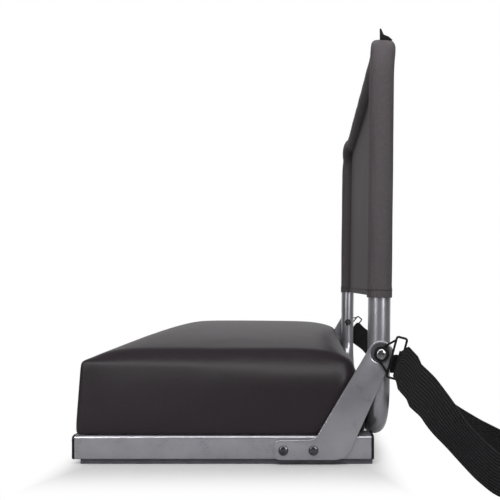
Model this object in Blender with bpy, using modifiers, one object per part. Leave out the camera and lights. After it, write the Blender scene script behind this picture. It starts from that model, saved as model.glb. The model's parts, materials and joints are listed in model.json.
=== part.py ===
"""Folding stadium chair: a padded seat on two rails, with a tube back that folds down over it.

Metres, +Z up. The chair faces -Y and its left and right are at -X and +X. The origin is on the
floor, in the middle of the chair's width and depth.
"""

import math

import bmesh
import bpy
from mathutils import Matrix, Vector

# Gap left between pieces that touch
FIT = 0.0003

# Base rails, rectangular steel tube
RAIL_LENGTH = 0.285
RAIL_WIDTH = 0.020
RAIL_HEIGHT = 0.023
RAIL_WALL = 0.0015
RAIL_CORNER = 0.0025
CAP_FLANGE = 0.0027
CAP_PLUG = 0.012
FOOT_HEIGHT = 0.005
FOOT_WIDTH = 0.014
FOOT_CORNER = 0.0012
FOOT_FRONT_INSET = 0.0044
FOOT_REAR_OVERHANG = 0.0015

# Back frame, round steel tube
TUBE_SPACING = 0.400
TUBE_RADIUS = 0.011
TUBE_WALL = 0.0012
PIVOT_HEIGHT = 0.1076
PIVOT_SETBACK = 0.0088
BACK_LEAN = math.radians(0.6)
BACK_RISE = 0.309
TOP_BEND = 0.040
TOP_BAR_SETBACK = 0.006
BAR_DROP = 0.0806
LOWER_BEND = 0.045
JOINT_ABOVE_BEND = 0.0025
SPIGOT_LENGTH = 0.018

# Back cover, a sleeve round the uprights and top bar with one panel between them
SLEEVE_CLOTH = 0.0009
PANEL_THICKNESS = 0.0016
PANEL_SETBACK = 0.004
COVER_HEM_RISE = 0.0531
CORNER_ANGLE = math.radians(60)
CORNER_SPREAD = math.radians(32)
CORNER_SQUARENESS = 3.2

# Ears, the cover's folded corners: front to rear and height above the sleeve
EAR_THICKNESS = 0.004
EAR_FOLD = ((0.0080, 0.0), (0.0039, 0.0030), (-0.0012, 0.0047), (-0.0042, 0.0100), (-0.0056, 0.0097),
            (-0.0046, 0.0))

# Side plates, stamped steel
PLATE_THICKNESS = 0.0025
PLATE_STANDOFF = 0.0012
PLATE_EDGE_ROUND = 0.0004
PLATE_HEAD_RADIUS = 0.012
PLATE_FOOT_REACH = 0.102
PLATE_FOOT_HEIGHT = 0.0191
PLATE_FOOT_LIFT = 0.0008
PLATE_FOOT_ROUND = 0.005
PLATE_CROTCH_REACH = 0.0633
PLATE_CROTCH_ROUND = 0.012
PLATE_HEEL_REACH = 0.0329
PLATE_HEEL_ROUND = 0.018
DISH_RADIUS = 0.0100
DISH_SLOPE = 0.0022

# Fasteners
RIVET_TIP_INSET = 0.0089
RIVET_PITCH = 0.0287
RIVET_HEIGHT = 0.0100
RIVET_HEAD_RADIUS = 0.0047
RIVET_HEAD_HEIGHT = 0.0021
RIVET_SHANK_RADIUS = 0.0024
RIVET_TAIL_RADIUS = 0.0036
RIVET_TAIL_TIP = 0.0025
RIVET_TAIL_LENGTH = 0.0024
BOLT_RADIUS = 0.0030
BOLT_HEAD_RADIUS = 0.0052
BOLT_HEAD_HEIGHT = 0.0024
BOLT_TIP = 0.0015
WASHER_RADIUS = 0.0073
WASHER_THICKNESS = 0.0010
NUT_ACROSS_FLATS = 0.010
NUT_HEIGHT = 0.0050
SCREW_RADIUS = 0.0025
SCREW_HEAD_RADIUS = 0.0048
SCREW_HEAD_HEIGHT = 0.0030
SCREW_BITE = 0.0080
SCREW_ACCESS_RADIUS = 0.0058
SCREW_FRONT_INSET = 0.055
SCREW_REAR_INSET = 0.045

# Seat
SEAT_SIDE_GAP = 0.0016
SEAT_FRONT_SETBACK = 0.0006
SEAT_STOP_GAP = 0.0004
SEAT_HEIGHT = 0.0720
SEAT_CROWN = 0.0178
CROWN_POWER = 4.6
SEAT_EDGE_ROUND = 0.009
SEAT_FOOT_ROUND = 0.003
SEAT_FRONT_CORNER = 0.007
SEAT_REAR_CORNER = 0.020
SEAT_CORNER_LEAST = 0.004
SEAT_TAPER = 0.0028
SEAT_DRAW_IN = 0.003
SEAT_REAR_LEAN = 0.010
CLOTH = 0.0010
HEM_WIDTH = 0.035
BOARD_THICKNESS = 0.010

# Carry strap and its rings
RING_WIRE = 0.0022
RING_TILT = {"right": math.radians(15), "left": math.radians(39)}
RING_BAR_REACH = 0.0105
RING_BAR_HALF = 0.0164
RING_REACH = 0.0205
RING_BEND = 0.002
STRAP_WIDTH = 0.035
STRAP_THICKNESS = 0.0015
STRAP_DIP = {"right": math.radians(48), "left": math.radians(45)}
END_TAPER = 0.009
END_LENGTH = 0.020
LAP_START = 0.002
SKEW_LENGTH = 0.050
STRAP_FLOOR_GAP = 0.0005
STRAP_POINTS = 64

# Way of the carry strap: its fall from the lap on each ring, outwards, rearwards and down, where it
# lands, outwards and rearwards, and then X and Y along the floor
STRAP_FALL = {
    "right": ((0.0030, 0.0085, -0.0138), (0.0107, 0.0215, -0.0336), (0.0227, 0.0382, -0.0572),
              (0.0500, 0.0570, -0.0776)),
    "left": ((0.0016, 0.0130, -0.0130), (0.0045, 0.0215, -0.0240), (0.0150, 0.0370, -0.0440),
             (0.0380, 0.0580, -0.0640)),
}
STRAP_LANDING = {"right": (0.0660, 0.0690), "left": (0.0560, 0.0780)}
STRAP_FLOOR = ((0.296, 0.250), (0.284, 0.268), (0.262, 0.266), (0.238, 0.252), (0.205, 0.244),
               (0.170, 0.238), (0.100, 0.232), (0.0, 0.232), (-0.100, 0.236), (-0.190, 0.246),
               (-0.250, 0.250), (-0.285, 0.238))

# Places worked out from the sizes above
RING_HALF = STRAP_WIDTH / 2 + RING_BEND + FIT
RING_REAR = RING_WIRE / 2 + max(RING_REACH * math.cos(tilt) + RING_HALF * math.sin(tilt)
                               for tilt in RING_TILT.values())
CHAIR_DEPTH = CAP_FLANGE + RAIL_LENGTH + PIVOT_SETBACK + RING_REAR
CHAIR_FRONT = -CHAIR_DEPTH / 2
RAIL_FRONT = CHAIR_FRONT + CAP_FLANGE
RAIL_REAR = RAIL_FRONT + RAIL_LENGTH
RAIL_TOP = FOOT_HEIGHT + RAIL_HEIGHT
TUBE_X = TUBE_SPACING / 2
RAIL_OUTER = TUBE_X + TUBE_RADIUS + PLATE_STANDOFF
RAIL_INNER = RAIL_OUTER - RAIL_WIDTH
RAIL_X = (RAIL_OUTER + RAIL_INNER) / 2
PLATE_INNER = RAIL_OUTER + FIT
PLATE_OUTER = PLATE_INNER + PLATE_THICKNESS
RING_X = PLATE_OUTER + FIT + RING_WIRE / 2
WASHER_INNER = RING_X + RING_WIRE / 2 + FIT
HEAD_INNER = WASHER_INNER + WASHER_THICKNESS + FIT
STRAP_EYE = RING_WIRE / 2 + FIT
STRAP_WRAP = STRAP_EYE + STRAP_THICKNESS
STRAP_LIE = STRAP_FLOOR_GAP + STRAP_WIDTH / 2
PIVOT = Vector((0, RAIL_REAR + PIVOT_SETBACK, PIVOT_HEIGHT))
SEAT_BOTTOM = RAIL_TOP + FIT
SEAT_TOP = SEAT_BOTTOM + SEAT_HEIGHT
SEAT_HALF = RAIL_OUTER - SEAT_SIDE_GAP
SEAT_FRONT = CHAIR_FRONT + SEAT_FRONT_SETBACK
STOP_FRONT = PIVOT.y - BAR_DROP * math.sin(BACK_LEAN) - TUBE_RADIUS
SEAT_REAR = STOP_FRONT - SEAT_STOP_GAP
BOARD_BOTTOM = SEAT_BOTTOM + CLOTH + FIT
BOARD_TOP = BOARD_BOTTOM + BOARD_THICKNESS
LINING = CLOTH + FIT

# Facets
TUBE_RESOLUTION = 6
SLEEVE_STEPS = 20
WIRE_RESOLUTION = 2
BEND_STEPS = 8
TURN_STEPS = 20
CORNER_STEPS = 4
SIDE_STEPS = 6
DOME_STEPS = 5
SCREW_STEPS = 12
SPLINE_STEPS = 12
EDGE_TURNS = (math.radians(25), math.radians(50), math.radians(73))
CROWN_RINGS = (0.92, 0.75, 0.42)
SMOOTH_ANGLE = math.radians(35)
WELD = 0.000001


def start_scene():
    """Empty the scene and give the chair its two collections."""
    for old in list(bpy.data.objects):
        bpy.data.objects.remove(old, do_unlink=True)
    groups = []
    for name in ("stadium_chair", "cutters"):
        group = bpy.data.collections.new(name)
        bpy.context.scene.collection.children.link(group)
        groups.append(group)
    return groups


PARTS, CUTTERS = start_scene()


def finish(name, colour, roughness, metallic):
    """A plain finish for the pieces made of one stuff."""
    paint = bpy.data.materials.new(name)
    paint.use_nodes = True
    shader = paint.node_tree.nodes["Principled BSDF"]
    shader.inputs["Base Color"].default_value = (*colour, 1)
    shader.inputs["Roughness"].default_value = roughness
    shader.inputs["Metallic"].default_value = metallic
    return paint


SILVER = finish("silver_paint", (0.36, 0.36, 0.38), 0.38, 0.85)
ZINC = finish("dark_zinc", (0.10, 0.10, 0.11), 0.35, 0.9)
BLACK_WIRE = finish("black_wire", (0.012, 0.012, 0.013), 0.35, 0.4)
BLACK_PLASTIC = finish("black_plastic", (0.012, 0.012, 0.013), 0.5, 0)
RUBBER = finish("foot_rubber", (0.07, 0.07, 0.08), 0.8, 0)
SEAT_CLOTH = finish("seat_cloth", (0.028, 0.026, 0.028), 0.75, 0)
BACK_CLOTH = finish("back_cloth", (0.095, 0.09, 0.095), 0.85, 0)
WEBBING = finish("webbing", (0.014, 0.013, 0.014), 0.8, 0)
FOAM = finish("foam", (0.62, 0.60, 0.52), 0.95, 0)
PLYWOOD = finish("plywood", (0.50, 0.36, 0.22), 0.7, 0)


def pivot_empty(name, place, turn=0.0):
    """An empty on a joint's axis, which its moving pieces hang from."""
    empty = bpy.data.objects.new(name, None)
    empty.location = place
    empty.rotation_euler = (turn, 0, 0)
    empty.empty_display_size = 0.02
    PARTS.objects.link(empty)
    return empty


BASE = pivot_empty("base_frame", (0, 0, 0))
BACK = pivot_empty("back_pivot", PIVOT, -BACK_LEAN)


def add_piece(name, mesh, paint, parent=BASE):
    """A named piece, in its parent's own frame."""
    mesh.name = name
    mesh.materials.clear()
    mesh.materials.append(paint)
    mesh.shade_smooth()
    mesh.set_sharp_from_angle(angle=SMOOTH_ANGLE)
    piece = bpy.data.objects.new(name, mesh)
    piece.parent = parent
    PARTS.objects.link(piece)
    return piece


def add_tool(name, mesh, parent=BASE):
    """A solid that only cuts or joins another."""
    tool = bpy.data.objects.new(name, mesh)
    tool.parent = parent
    tool.hide_render = True
    tool.display_type = "WIRE"
    CUTTERS.objects.link(tool)
    return tool


def combine(piece, tool, operation):
    """Cut a tool out of a piece, or join it on."""
    step = piece.modifiers.new(tool.name, "BOOLEAN")
    step.object = tool
    step.operation = operation
    step.solver = "EXACT"


def evaluated_mesh(thing):
    """The mesh of an object with its modifiers worked out, in world space."""
    bpy.context.view_layer.update()
    graph = bpy.context.evaluated_depsgraph_get()
    mesh = bpy.data.meshes.new_from_object(thing.evaluated_get(graph))
    mesh.transform(thing.matrix_world)
    return mesh


def mirror_left(right, name, paint, parent=BASE):
    """The left-hand copy of a right-hand piece, reflected in the plane X = 0."""
    mesh = evaluated_mesh(right)
    mesh.transform(Matrix.Scale(-1, 4, (1, 0, 0)))
    mesh.flip_normals()
    bpy.context.view_layer.update()
    mesh.transform(parent.matrix_world.inverted())
    return add_piece(name, mesh, paint, parent)


def curve_mesh(curve):
    """The welded mesh of a curve, which is then removed."""
    thing = bpy.data.objects.new("curve", curve)
    bpy.context.scene.collection.objects.link(thing)
    mesh = evaluated_mesh(thing)
    bpy.data.objects.remove(thing, do_unlink=True)
    bpy.data.curves.remove(curve)
    body = bmesh.new()
    body.from_mesh(mesh)
    bmesh.ops.remove_doubles(body, verts=body.verts, dist=WELD)
    bmesh.ops.recalc_face_normals(body, faces=body.faces)
    body.to_mesh(mesh)
    body.free()
    return mesh


# Turns the curve plane's u, v and depth into the axes that a prism stands in
PRISM_AXES = {
    "X": Matrix(((0, 0, 1, 0), (1, 0, 0, 0), (0, 1, 0, 0), (0, 0, 0, 1))),
    "Y": Matrix(((1, 0, 0, 0), (0, 0, -1, 0), (0, 1, 0, 0), (0, 0, 0, 1))),
    "Z": Matrix.Identity(4),
}


def prism(loops, low, high, axis, edge_round=0.0):
    """A flat outline, with any holes as further loops, drawn out from low to high along an axis."""
    curve = bpy.data.curves.new("outline", "CURVE")
    curve.dimensions = "2D"
    curve.fill_mode = "BOTH"
    curve.extrude = (high - low) / 2 - edge_round
    curve.bevel_depth = edge_round
    curve.bevel_resolution = 0
    curve.offset = -edge_round
    for loop in loops:
        spline = curve.splines.new("POLY")
        spline.points.add(len(loop) - 1)
        for point, (u, v) in zip(spline.points, loop):
            point.co = (u, v, 0, 1)
        spline.use_cyclic_u = True
    mesh = curve_mesh(curve)
    shift = {"X": Vector((1, 0, 0)), "Y": Vector((0, 1, 0)), "Z": Vector((0, 0, 1))}[axis]
    mesh.transform(Matrix.Translation(shift * (low + high) / 2) @ PRISM_AXES[axis])
    return mesh


def sweep(points, radius, resolution, closed=False):
    """A round bar along points, capped at its ends."""
    curve = bpy.data.curves.new("route", "CURVE")
    curve.dimensions = "3D"
    curve.fill_mode = "FULL"
    curve.bevel_depth = radius
    curve.bevel_resolution = resolution
    curve.use_fill_caps = not closed
    spline = curve.splines.new("POLY")
    spline.points.add(len(points) - 1)
    for point, place in zip(spline.points, points):
        point.co = (*place, 1)
    spline.use_cyclic_u = closed
    return curve_mesh(curve)


def turned(profile, name, paint, centre, steps=TURN_STEPS):
    """A piece turned about a line along X through centre, from (radius, x) points, outer end first."""
    mesh = bpy.data.meshes.new(name)
    body = bmesh.new()
    corners = [body.verts.new((radius, 0, height)) for radius, height in profile]
    for first, second in zip(corners, corners[1:]):
        body.edges.new((first, second))
    body.to_mesh(mesh)
    body.free()
    piece = add_piece(name, mesh, paint)
    piece.location = (0, centre[0], centre[1])
    piece.rotation_euler = (0, math.radians(90), 0)
    screw = piece.modifiers.new("turn", "SCREW")
    screw.axis = "Z"
    screw.steps = steps
    screw.render_steps = steps
    screw.use_merge_vertices = True
    screw.merge_threshold = WELD
    return piece


def drum(name, radii, low, high, centre, axis, parent=BASE):
    """A round tool from low to high along X or Z, with one radius at each end."""
    body = bmesh.new()
    bmesh.ops.create_cone(body, cap_ends=True, segments=TURN_STEPS, radius1=radii[0],
                          radius2=radii[1], depth=high - low)
    mesh = bpy.data.meshes.new(name)
    body.to_mesh(mesh)
    body.free()
    middle = (low + high) / 2
    if axis == "X":
        mesh.transform(Matrix.Rotation(math.radians(90), 4, "Y"))
        mesh.transform(Matrix.Translation((middle, *centre)))
    else:
        mesh.transform(Matrix.Translation((*centre, middle)))
    return add_tool(name, mesh, parent)


def arc(centre, radius, start, end, steps):
    """Points along an arc, both ends included."""
    points = []
    for step in range(steps + 1):
        angle = start + (end - start) * step / steps
        points.append((centre[0] + radius * math.cos(angle), centre[1] + radius * math.sin(angle)))
    return points


def rounded(corners, steps=CORNER_STEPS):
    """A closed outline through (u, v, radius) corners, each turned by an arc of its radius."""
    outline = []
    for index, (u, v, radius) in enumerate(corners):
        here = Vector((u, v))
        if radius == 0:
            outline.append((u, v))
            continue
        before = (Vector(corners[index - 1][:2]) - here).normalized()
        after = (Vector(corners[(index + 1) % len(corners)][:2]) - here).normalized()
        half = before.angle(after) / 2
        centre = here + (before + after).normalized() * (radius / math.sin(half))
        first = here + before * (radius / math.tan(half)) - centre
        last = here + after * (radius / math.tan(half)) - centre
        start = math.atan2(first.y, first.x)
        turn = math.atan2(last.y, last.x) - start
        turn = (turn + math.pi) % math.tau - math.pi
        outline += arc(centre, radius, start, start + turn, steps)
    return outline


def rectangle(low, high, radius):
    """The outline of an upright rectangle between two corners, rounded or sharp."""
    return rounded([(low[0], low[1], radius), (high[0], low[1], radius),
                    (high[0], high[1], radius), (low[0], high[1], radius)])


def circle(centre, radius, steps=TURN_STEPS):
    """The outline of a round hole."""
    return arc(centre, radius, 0, math.tau * (steps - 1) / steps, steps - 1)


def tangent_angle(point, centre, radius, side):
    """The angle on a circle where a line from a point touches it, on the side given by 1 or -1."""
    away = Vector(point) - Vector(centre)
    return math.atan2(away.y, away.x) + side * math.acos(radius / away.length)


def make_rails():
    """The two base rails with their caps and foot strips."""
    outer = rectangle((RAIL_INNER, FOOT_HEIGHT), (RAIL_OUTER, RAIL_TOP), RAIL_CORNER)
    bore_low = (RAIL_INNER + RAIL_WALL, FOOT_HEIGHT + RAIL_WALL)
    bore_high = (RAIL_OUTER - RAIL_WALL, RAIL_TOP - RAIL_WALL)
    bore = rectangle(bore_low, bore_high, 0)
    rail = add_piece("base_rail_right", prism([outer, bore], RAIL_FRONT, RAIL_REAR, "Y"), SILVER)
    for index, place in enumerate(rivet_places()):
        combine(rail, drum(f"rail_rivet_hole_{index}", [RIVET_SHANK_RADIUS + FIT] * 2,
                           RAIL_OUTER - 2 * RAIL_WALL, RAIL_OUTER + RAIL_WALL, place, "X"),
                "DIFFERENCE")
    for index, place in enumerate(screw_places()):
        combine(rail, drum(f"rail_screw_hole_{index}", [SCREW_RADIUS + FIT] * 2,
                           RAIL_TOP - 2 * RAIL_WALL, RAIL_TOP + RAIL_WALL, place, "Z"),
                "DIFFERENCE")
        combine(rail, drum(f"rail_access_hole_{index}", [SCREW_ACCESS_RADIUS] * 2,
                           FOOT_HEIGHT - RAIL_WALL, FOOT_HEIGHT + 2 * RAIL_WALL, place, "Z"),
                "DIFFERENCE")
    mirror_left(rail, "base_rail_left", SILVER)

    plug = rectangle((bore_low[0] + FIT, bore_low[1] + FIT),
                     (bore_high[0] - FIT, bore_high[1] - FIT), 0)
    for end, flange_low, plug_low in (("front", CHAIR_FRONT, RAIL_FRONT - CAP_FLANGE / 2),
                                      ("rear", RAIL_REAR + FIT, RAIL_REAR - CAP_PLUG)):
        flange_high = flange_low + CAP_FLANGE - FIT
        plug_high = plug_low + CAP_PLUG + CAP_FLANGE / 2
        cap = add_piece(f"rail_cap_{end}_right", prism([outer], flange_low, flange_high, "Y"),
                        BLACK_PLASTIC)
        combine(cap, add_tool(f"cap_plug_{end}", prism([plug], plug_low, plug_high, "Y")), "UNION")
        mirror_left(cap, f"rail_cap_{end}_left", BLACK_PLASTIC)

    strip = rectangle((RAIL_X - FOOT_WIDTH / 2, 0), (RAIL_X + FOOT_WIDTH / 2, FOOT_HEIGHT - FIT),
                      FOOT_CORNER)
    foot = add_piece("foot_strip_right", prism([strip], RAIL_FRONT + FOOT_FRONT_INSET,
                                               RAIL_REAR + FOOT_REAR_OVERHANG, "Y"), RUBBER)
    mirror_left(foot, "foot_strip_left", RUBBER)


def rivet_places():
    """Y and Z of the rivets through each side plate."""
    front = PIVOT.y - PLATE_FOOT_REACH + RIVET_TIP_INSET
    return [(front, FOOT_HEIGHT + RIVET_HEIGHT), (front + RIVET_PITCH, FOOT_HEIGHT + RIVET_HEIGHT)]


def screw_places():
    """X and Y of the screws through the right-hand rail into the board."""
    return [(RAIL_X, RAIL_FRONT + SCREW_FRONT_INSET), (RAIL_X, RAIL_REAR - SCREW_REAR_INSET)]


def plate_outline():
    """The side plate's outline in Y and Z: a foot along the rail and an arm up to the pivot."""
    head = (PIVOT.y, PIVOT.z)
    bottom = FOOT_HEIGHT + PLATE_FOOT_LIFT
    top = bottom + PLATE_FOOT_HEIGHT
    tip = PIVOT.y - PLATE_FOOT_REACH
    crotch = (PIVOT.y - PLATE_CROTCH_REACH, top)
    heel = (PIVOT.y - PLATE_HEEL_REACH, bottom)
    rear = tangent_angle(heel, head, PLATE_HEAD_RADIUS, 1)
    front = tangent_angle(crotch, head, PLATE_HEAD_RADIUS, -1)
    crown = arc(head, PLATE_HEAD_RADIUS, rear - math.tau, front, 2 * BEND_STEPS)
    corners = [(tip, bottom, PLATE_FOOT_ROUND), (*heel, PLATE_HEEL_ROUND)]
    corners += [(u, v, 0) for u, v in crown]
    corners += [(*crotch, PLATE_CROTCH_ROUND), (tip, top, PLATE_FOOT_ROUND)]
    return rounded(corners, BEND_STEPS)


def make_side_plates():
    """The stamped plates that carry the back's pivots, dished inwards to the tube."""
    head = (PIVOT.y, PIVOT.z)
    dish = PLATE_INNER - (TUBE_X + TUBE_RADIUS + FIT)
    floor = DISH_RADIUS - DISH_SLOPE
    plate = add_piece("side_plate_right", prism([plate_outline()], PLATE_INNER, PLATE_OUTER, "X",
                                                PLATE_EDGE_ROUND), SILVER)
    grow = DISH_SLOPE / dish
    boss_root = PLATE_INNER + PLATE_THICKNESS / 3
    combine(plate, drum("dish_boss", (floor, floor + grow * (boss_root - PLATE_INNER + dish)),
                        PLATE_INNER - dish, boss_root, head, "X"), "UNION")
    mouth = PLATE_OUTER + PLATE_THICKNESS / 3
    combine(plate, drum("dish_hollow", (floor, floor + grow * (mouth - PLATE_OUTER + dish)),
                        PLATE_OUTER - dish, mouth, head, "X"), "DIFFERENCE")
    combine(plate, drum("plate_bolt_hole", [BOLT_RADIUS + FIT] * 2, PLATE_INNER - 2 * dish, mouth,
                        head, "X"), "DIFFERENCE")
    for index, place in enumerate(rivet_places()):
        combine(plate, drum(f"plate_rivet_hole_{index}", [RIVET_SHANK_RADIUS + FIT] * 2,
                            PLATE_INNER - dish, mouth, place, "X"), "DIFFERENCE")
    mirror_left(plate, "side_plate_left", SILVER)


def dome(radius, seat, height):
    """The profile of a domed head that rises from its seat, from the top down to its rim."""
    quarter = [math.radians(90) * step / DOME_STEPS for step in range(DOME_STEPS + 1)]
    return [(radius * math.sin(angle), seat + height * math.cos(angle)) for angle in quarter]


def make_fasteners():
    """Rivets, pivot bolts with their washers and nuts, and the screws under the seat."""
    seat = PLATE_OUTER + FIT
    tail = RAIL_OUTER - RAIL_WALL - FIT
    profile = dome(RIVET_HEAD_RADIUS, seat, RIVET_HEAD_HEIGHT)
    profile += [(RIVET_SHANK_RADIUS, seat), (RIVET_SHANK_RADIUS, tail), (RIVET_TAIL_RADIUS, tail),
                (RIVET_TAIL_TIP, tail - RIVET_TAIL_LENGTH), (0, tail - RIVET_TAIL_LENGTH)]
    for place, spot in zip(rivet_places(), ("front", "rear")):
        rivet = turned(profile, f"rivet_{spot}_right", ZINC, place)
        mirror_left(rivet, f"rivet_{spot}_left", ZINC)

    head = (PIVOT.y, PIVOT.z)
    nut_outer = TUBE_X - TUBE_RADIUS - FIT
    bolt_end = nut_outer - NUT_HEIGHT - BOLT_TIP
    pan = dome(BOLT_HEAD_RADIUS, HEAD_INNER, BOLT_HEAD_HEIGHT)
    bolt = turned(pan + [(BOLT_RADIUS, HEAD_INNER), (BOLT_RADIUS, bolt_end), (0, bolt_end)],
                  "pivot_bolt_right", ZINC, head)
    mirror_left(bolt, "pivot_bolt_left", ZINC)
    hole = circle(head, BOLT_RADIUS + FIT)
    washer = add_piece("pivot_washer_right", prism([circle(head, WASHER_RADIUS), hole], WASHER_INNER,
                                                   WASHER_INNER + WASHER_THICKNESS, "X"), ZINC)
    mirror_left(washer, "pivot_washer_left", ZINC)
    hexagon = circle(head, NUT_ACROSS_FLATS / 2 / math.cos(math.radians(30)), 6)
    nut = add_piece("pivot_nut_right", prism([hexagon, hole], nut_outer - NUT_HEIGHT, nut_outer, "X"),
                    ZINC)
    mirror_left(nut, "pivot_nut_left", ZINC)

    neck = RAIL_TOP - RAIL_WALL - FIT
    tip = BOARD_BOTTOM + SCREW_BITE
    thread = [(0, tip), (SCREW_RADIUS, tip), (SCREW_RADIUS, neck), (SCREW_HEAD_RADIUS, neck),
              (SCREW_HEAD_RADIUS, neck - SCREW_HEAD_HEIGHT), (0, neck - SCREW_HEAD_HEIGHT)]
    for place, spot in zip(screw_places(), ("front", "rear")):
        screw = turned(thread, f"seat_screw_{spot}_right", ZINC, (0, 0), SCREW_STEPS)
        screw.location = (*place, 0)
        screw.rotation_euler = (0, 0, 0)
        mirror_left(screw, f"seat_screw_{spot}_left", ZINC)


def seat_corners(inset, lean=0.0):
    """The corners of the cushion's outline and their radii, inset from its foot, front left first."""
    low = Vector((-SEAT_HALF + inset, SEAT_FRONT + inset))
    high = Vector((SEAT_HALF - inset, SEAT_REAR - inset - lean))
    front = max(SEAT_FRONT_CORNER - inset, SEAT_CORNER_LEAST)
    rear = max(SEAT_REAR_CORNER - inset, SEAT_CORNER_LEAST)
    return [(low.x, low.y, front), (high.x, low.y, front), (high.x, high.y, rear), (low.x, high.y, rear)]


def seat_ring(inset, height, draw, lean=0.0):
    """One ring round the cushion, with its sides drawn in between corners and its rear leaning."""
    corners = seat_corners(inset, lean)
    quarter = math.radians(90)
    ring = []
    for side in range(4):
        here, turn = Vector(corners[side][:2]), corners[side][2]
        there, next_turn = Vector(corners[(side + 1) % 4][:2]), corners[(side + 1) % 4][2]
        along = (there - here).normalized()
        out = Vector((along.y, -along.x))
        first, last = here + along * turn, there - along * next_turn
        ring += arc(first - out * turn, turn, quarter * (side - 2), quarter * (side - 1), CORNER_STEPS)
        for step in range(1, SIDE_STEPS):
            share = step / SIDE_STEPS
            bow = draw * (1 - (2 * share - 1) ** 2)
            ring.append(first.lerp(last, share) - out * bow)
    return [(u, v, height) for u, v in ring]


def seat_rings(shrink, bottom):
    """The cushion's rings from its bottom edge up over the top edge and in to the crown's peak."""
    waist = BOARD_TOP
    shoulder = SEAT_TOP - SEAT_EDGE_ROUND
    rings = []
    for height in (bottom, waist, (2 * waist + shoulder) / 3, (waist + 2 * shoulder) / 3, shoulder):
        share = max(0, (height - waist) / (shoulder - waist))
        rings.append(seat_ring(shrink + SEAT_TAPER * share, height, SEAT_DRAW_IN * share,
                               rear_lean(height)))
    turn = SEAT_EDGE_ROUND - shrink
    for angle in EDGE_TURNS:
        inset = shrink + SEAT_TAPER + turn * (1 - math.cos(angle))
        height = shoulder + turn * math.sin(angle)
        rings.append(seat_ring(inset, height, SEAT_DRAW_IN, rear_lean(height)))
    rim = rings[-1]
    front, rear = min(y for x, y, z in rim), max(y for x, y, z in rim)
    middle = (front + rear) / 2
    reach_x, reach_y = max(x for x, y, z in rim), (rear - front) / 2
    for share in CROWN_RINGS:
        ring = []
        for x, y, z in rim:
            flat_x = 1 - abs(x / reach_x * share) ** CROWN_POWER
            flat_y = 1 - abs((y - middle) / reach_y * share) ** CROWN_POWER
            ring.append((x * share, middle + (y - middle) * share, z + SEAT_CROWN * flat_x * flat_y))
        rings.append(ring)
    rings.append([(0, middle, rim[0][2] + SEAT_CROWN)])
    return rings


def rear_lean(height):
    """How far the cushion's rear leans forwards at a height above its board."""
    share = max(0, (height - BOARD_TOP) / (SEAT_TOP - BOARD_TOP))
    return SEAT_REAR_LEAN * share ** 2


def loft(rings, name, close_bottom):
    """A skin over rings of equal count up to a single peak, closed below if asked."""
    body = bmesh.new()
    layers = [[body.verts.new(place) for place in ring] for ring in rings[:-1]]
    for lower, upper in zip(layers, layers[1:]):
        for index in range(len(lower)):
            body.faces.new((lower[index - 1], lower[index], upper[index], upper[index - 1]))
    peak = body.verts.new(rings[-1][0])
    for index, corner in enumerate(layers[-1]):
        body.faces.new((layers[-1][index - 1], corner, peak))
    if close_bottom:
        body.faces.new(list(reversed(layers[0])))
    mesh = bpy.data.meshes.new(name)
    body.to_mesh(mesh)
    body.free()
    return mesh


def make_seat():
    """The board, the foam on it and the cover drawn over both and turned under the board."""
    hem = [seat_ring(HEM_WIDTH, SEAT_BOTTOM, 0), seat_ring(SEAT_FOOT_ROUND, SEAT_BOTTOM, 0)]
    skin = hem + seat_rings(0, SEAT_BOTTOM + SEAT_FOOT_ROUND)
    cover = add_piece("seat_cover", loft(skin, "seat_cover", False), SEAT_CLOTH)
    wall = cover.modifiers.new("cloth", "SOLIDIFY")
    wall.thickness = CLOTH
    wall.offset = -1
    wall.use_even_offset = True
    foam_rings = seat_rings(LINING, BOARD_TOP + FIT)
    add_piece("seat_foam", loft(foam_rings, "seat_foam", True), FOAM)
    edge = rounded(seat_corners(LINING + SEAT_FOOT_ROUND))
    board = add_piece("seat_board", prism([edge], BOARD_BOTTOM, BOARD_TOP, "Z"), PLYWOOD)
    for index, (x, y) in enumerate(screw_places()):
        for side in (-1, 1):
            hole = drum(f"seat_screw_hole_{index}_{side}", [SCREW_RADIUS + FIT] * 2,
                        SEAT_BOTTOM - CLOTH, BOARD_BOTTOM + SCREW_BITE + FIT, (side * x, y), "Z")
            combine(board, hole, "DIFFERENCE")
            combine(cover, hole, "DIFFERENCE")


def ease(share):
    """A share from 0 to 1 that starts and ends gently."""
    return share ** 2 * (3 - 2 * share)


def arch(end, cross, bend, setback=0.0):
    """A U in the back's own frame, from an end height over a cross bar, set back, and down again."""
    way = 1 if cross > end else -1
    turn = arc((-TUBE_X + bend, cross - way * bend), bend, math.pi, math.pi - way * math.pi / 2,
               BEND_STEPS)
    left = [(-TUBE_X, 0, end)]
    left += [(x, setback * ease(step / BEND_STEPS), z) for step, (x, z) in enumerate(turn)]
    return left + [(-x, y, z) for x, y, z in reversed(left)]


def top_arch(end):
    """The middle of the back's upper tube, from an end height."""
    return arch(end, BACK_RISE, TOP_BEND, TOP_BAR_SETBACK)


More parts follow.
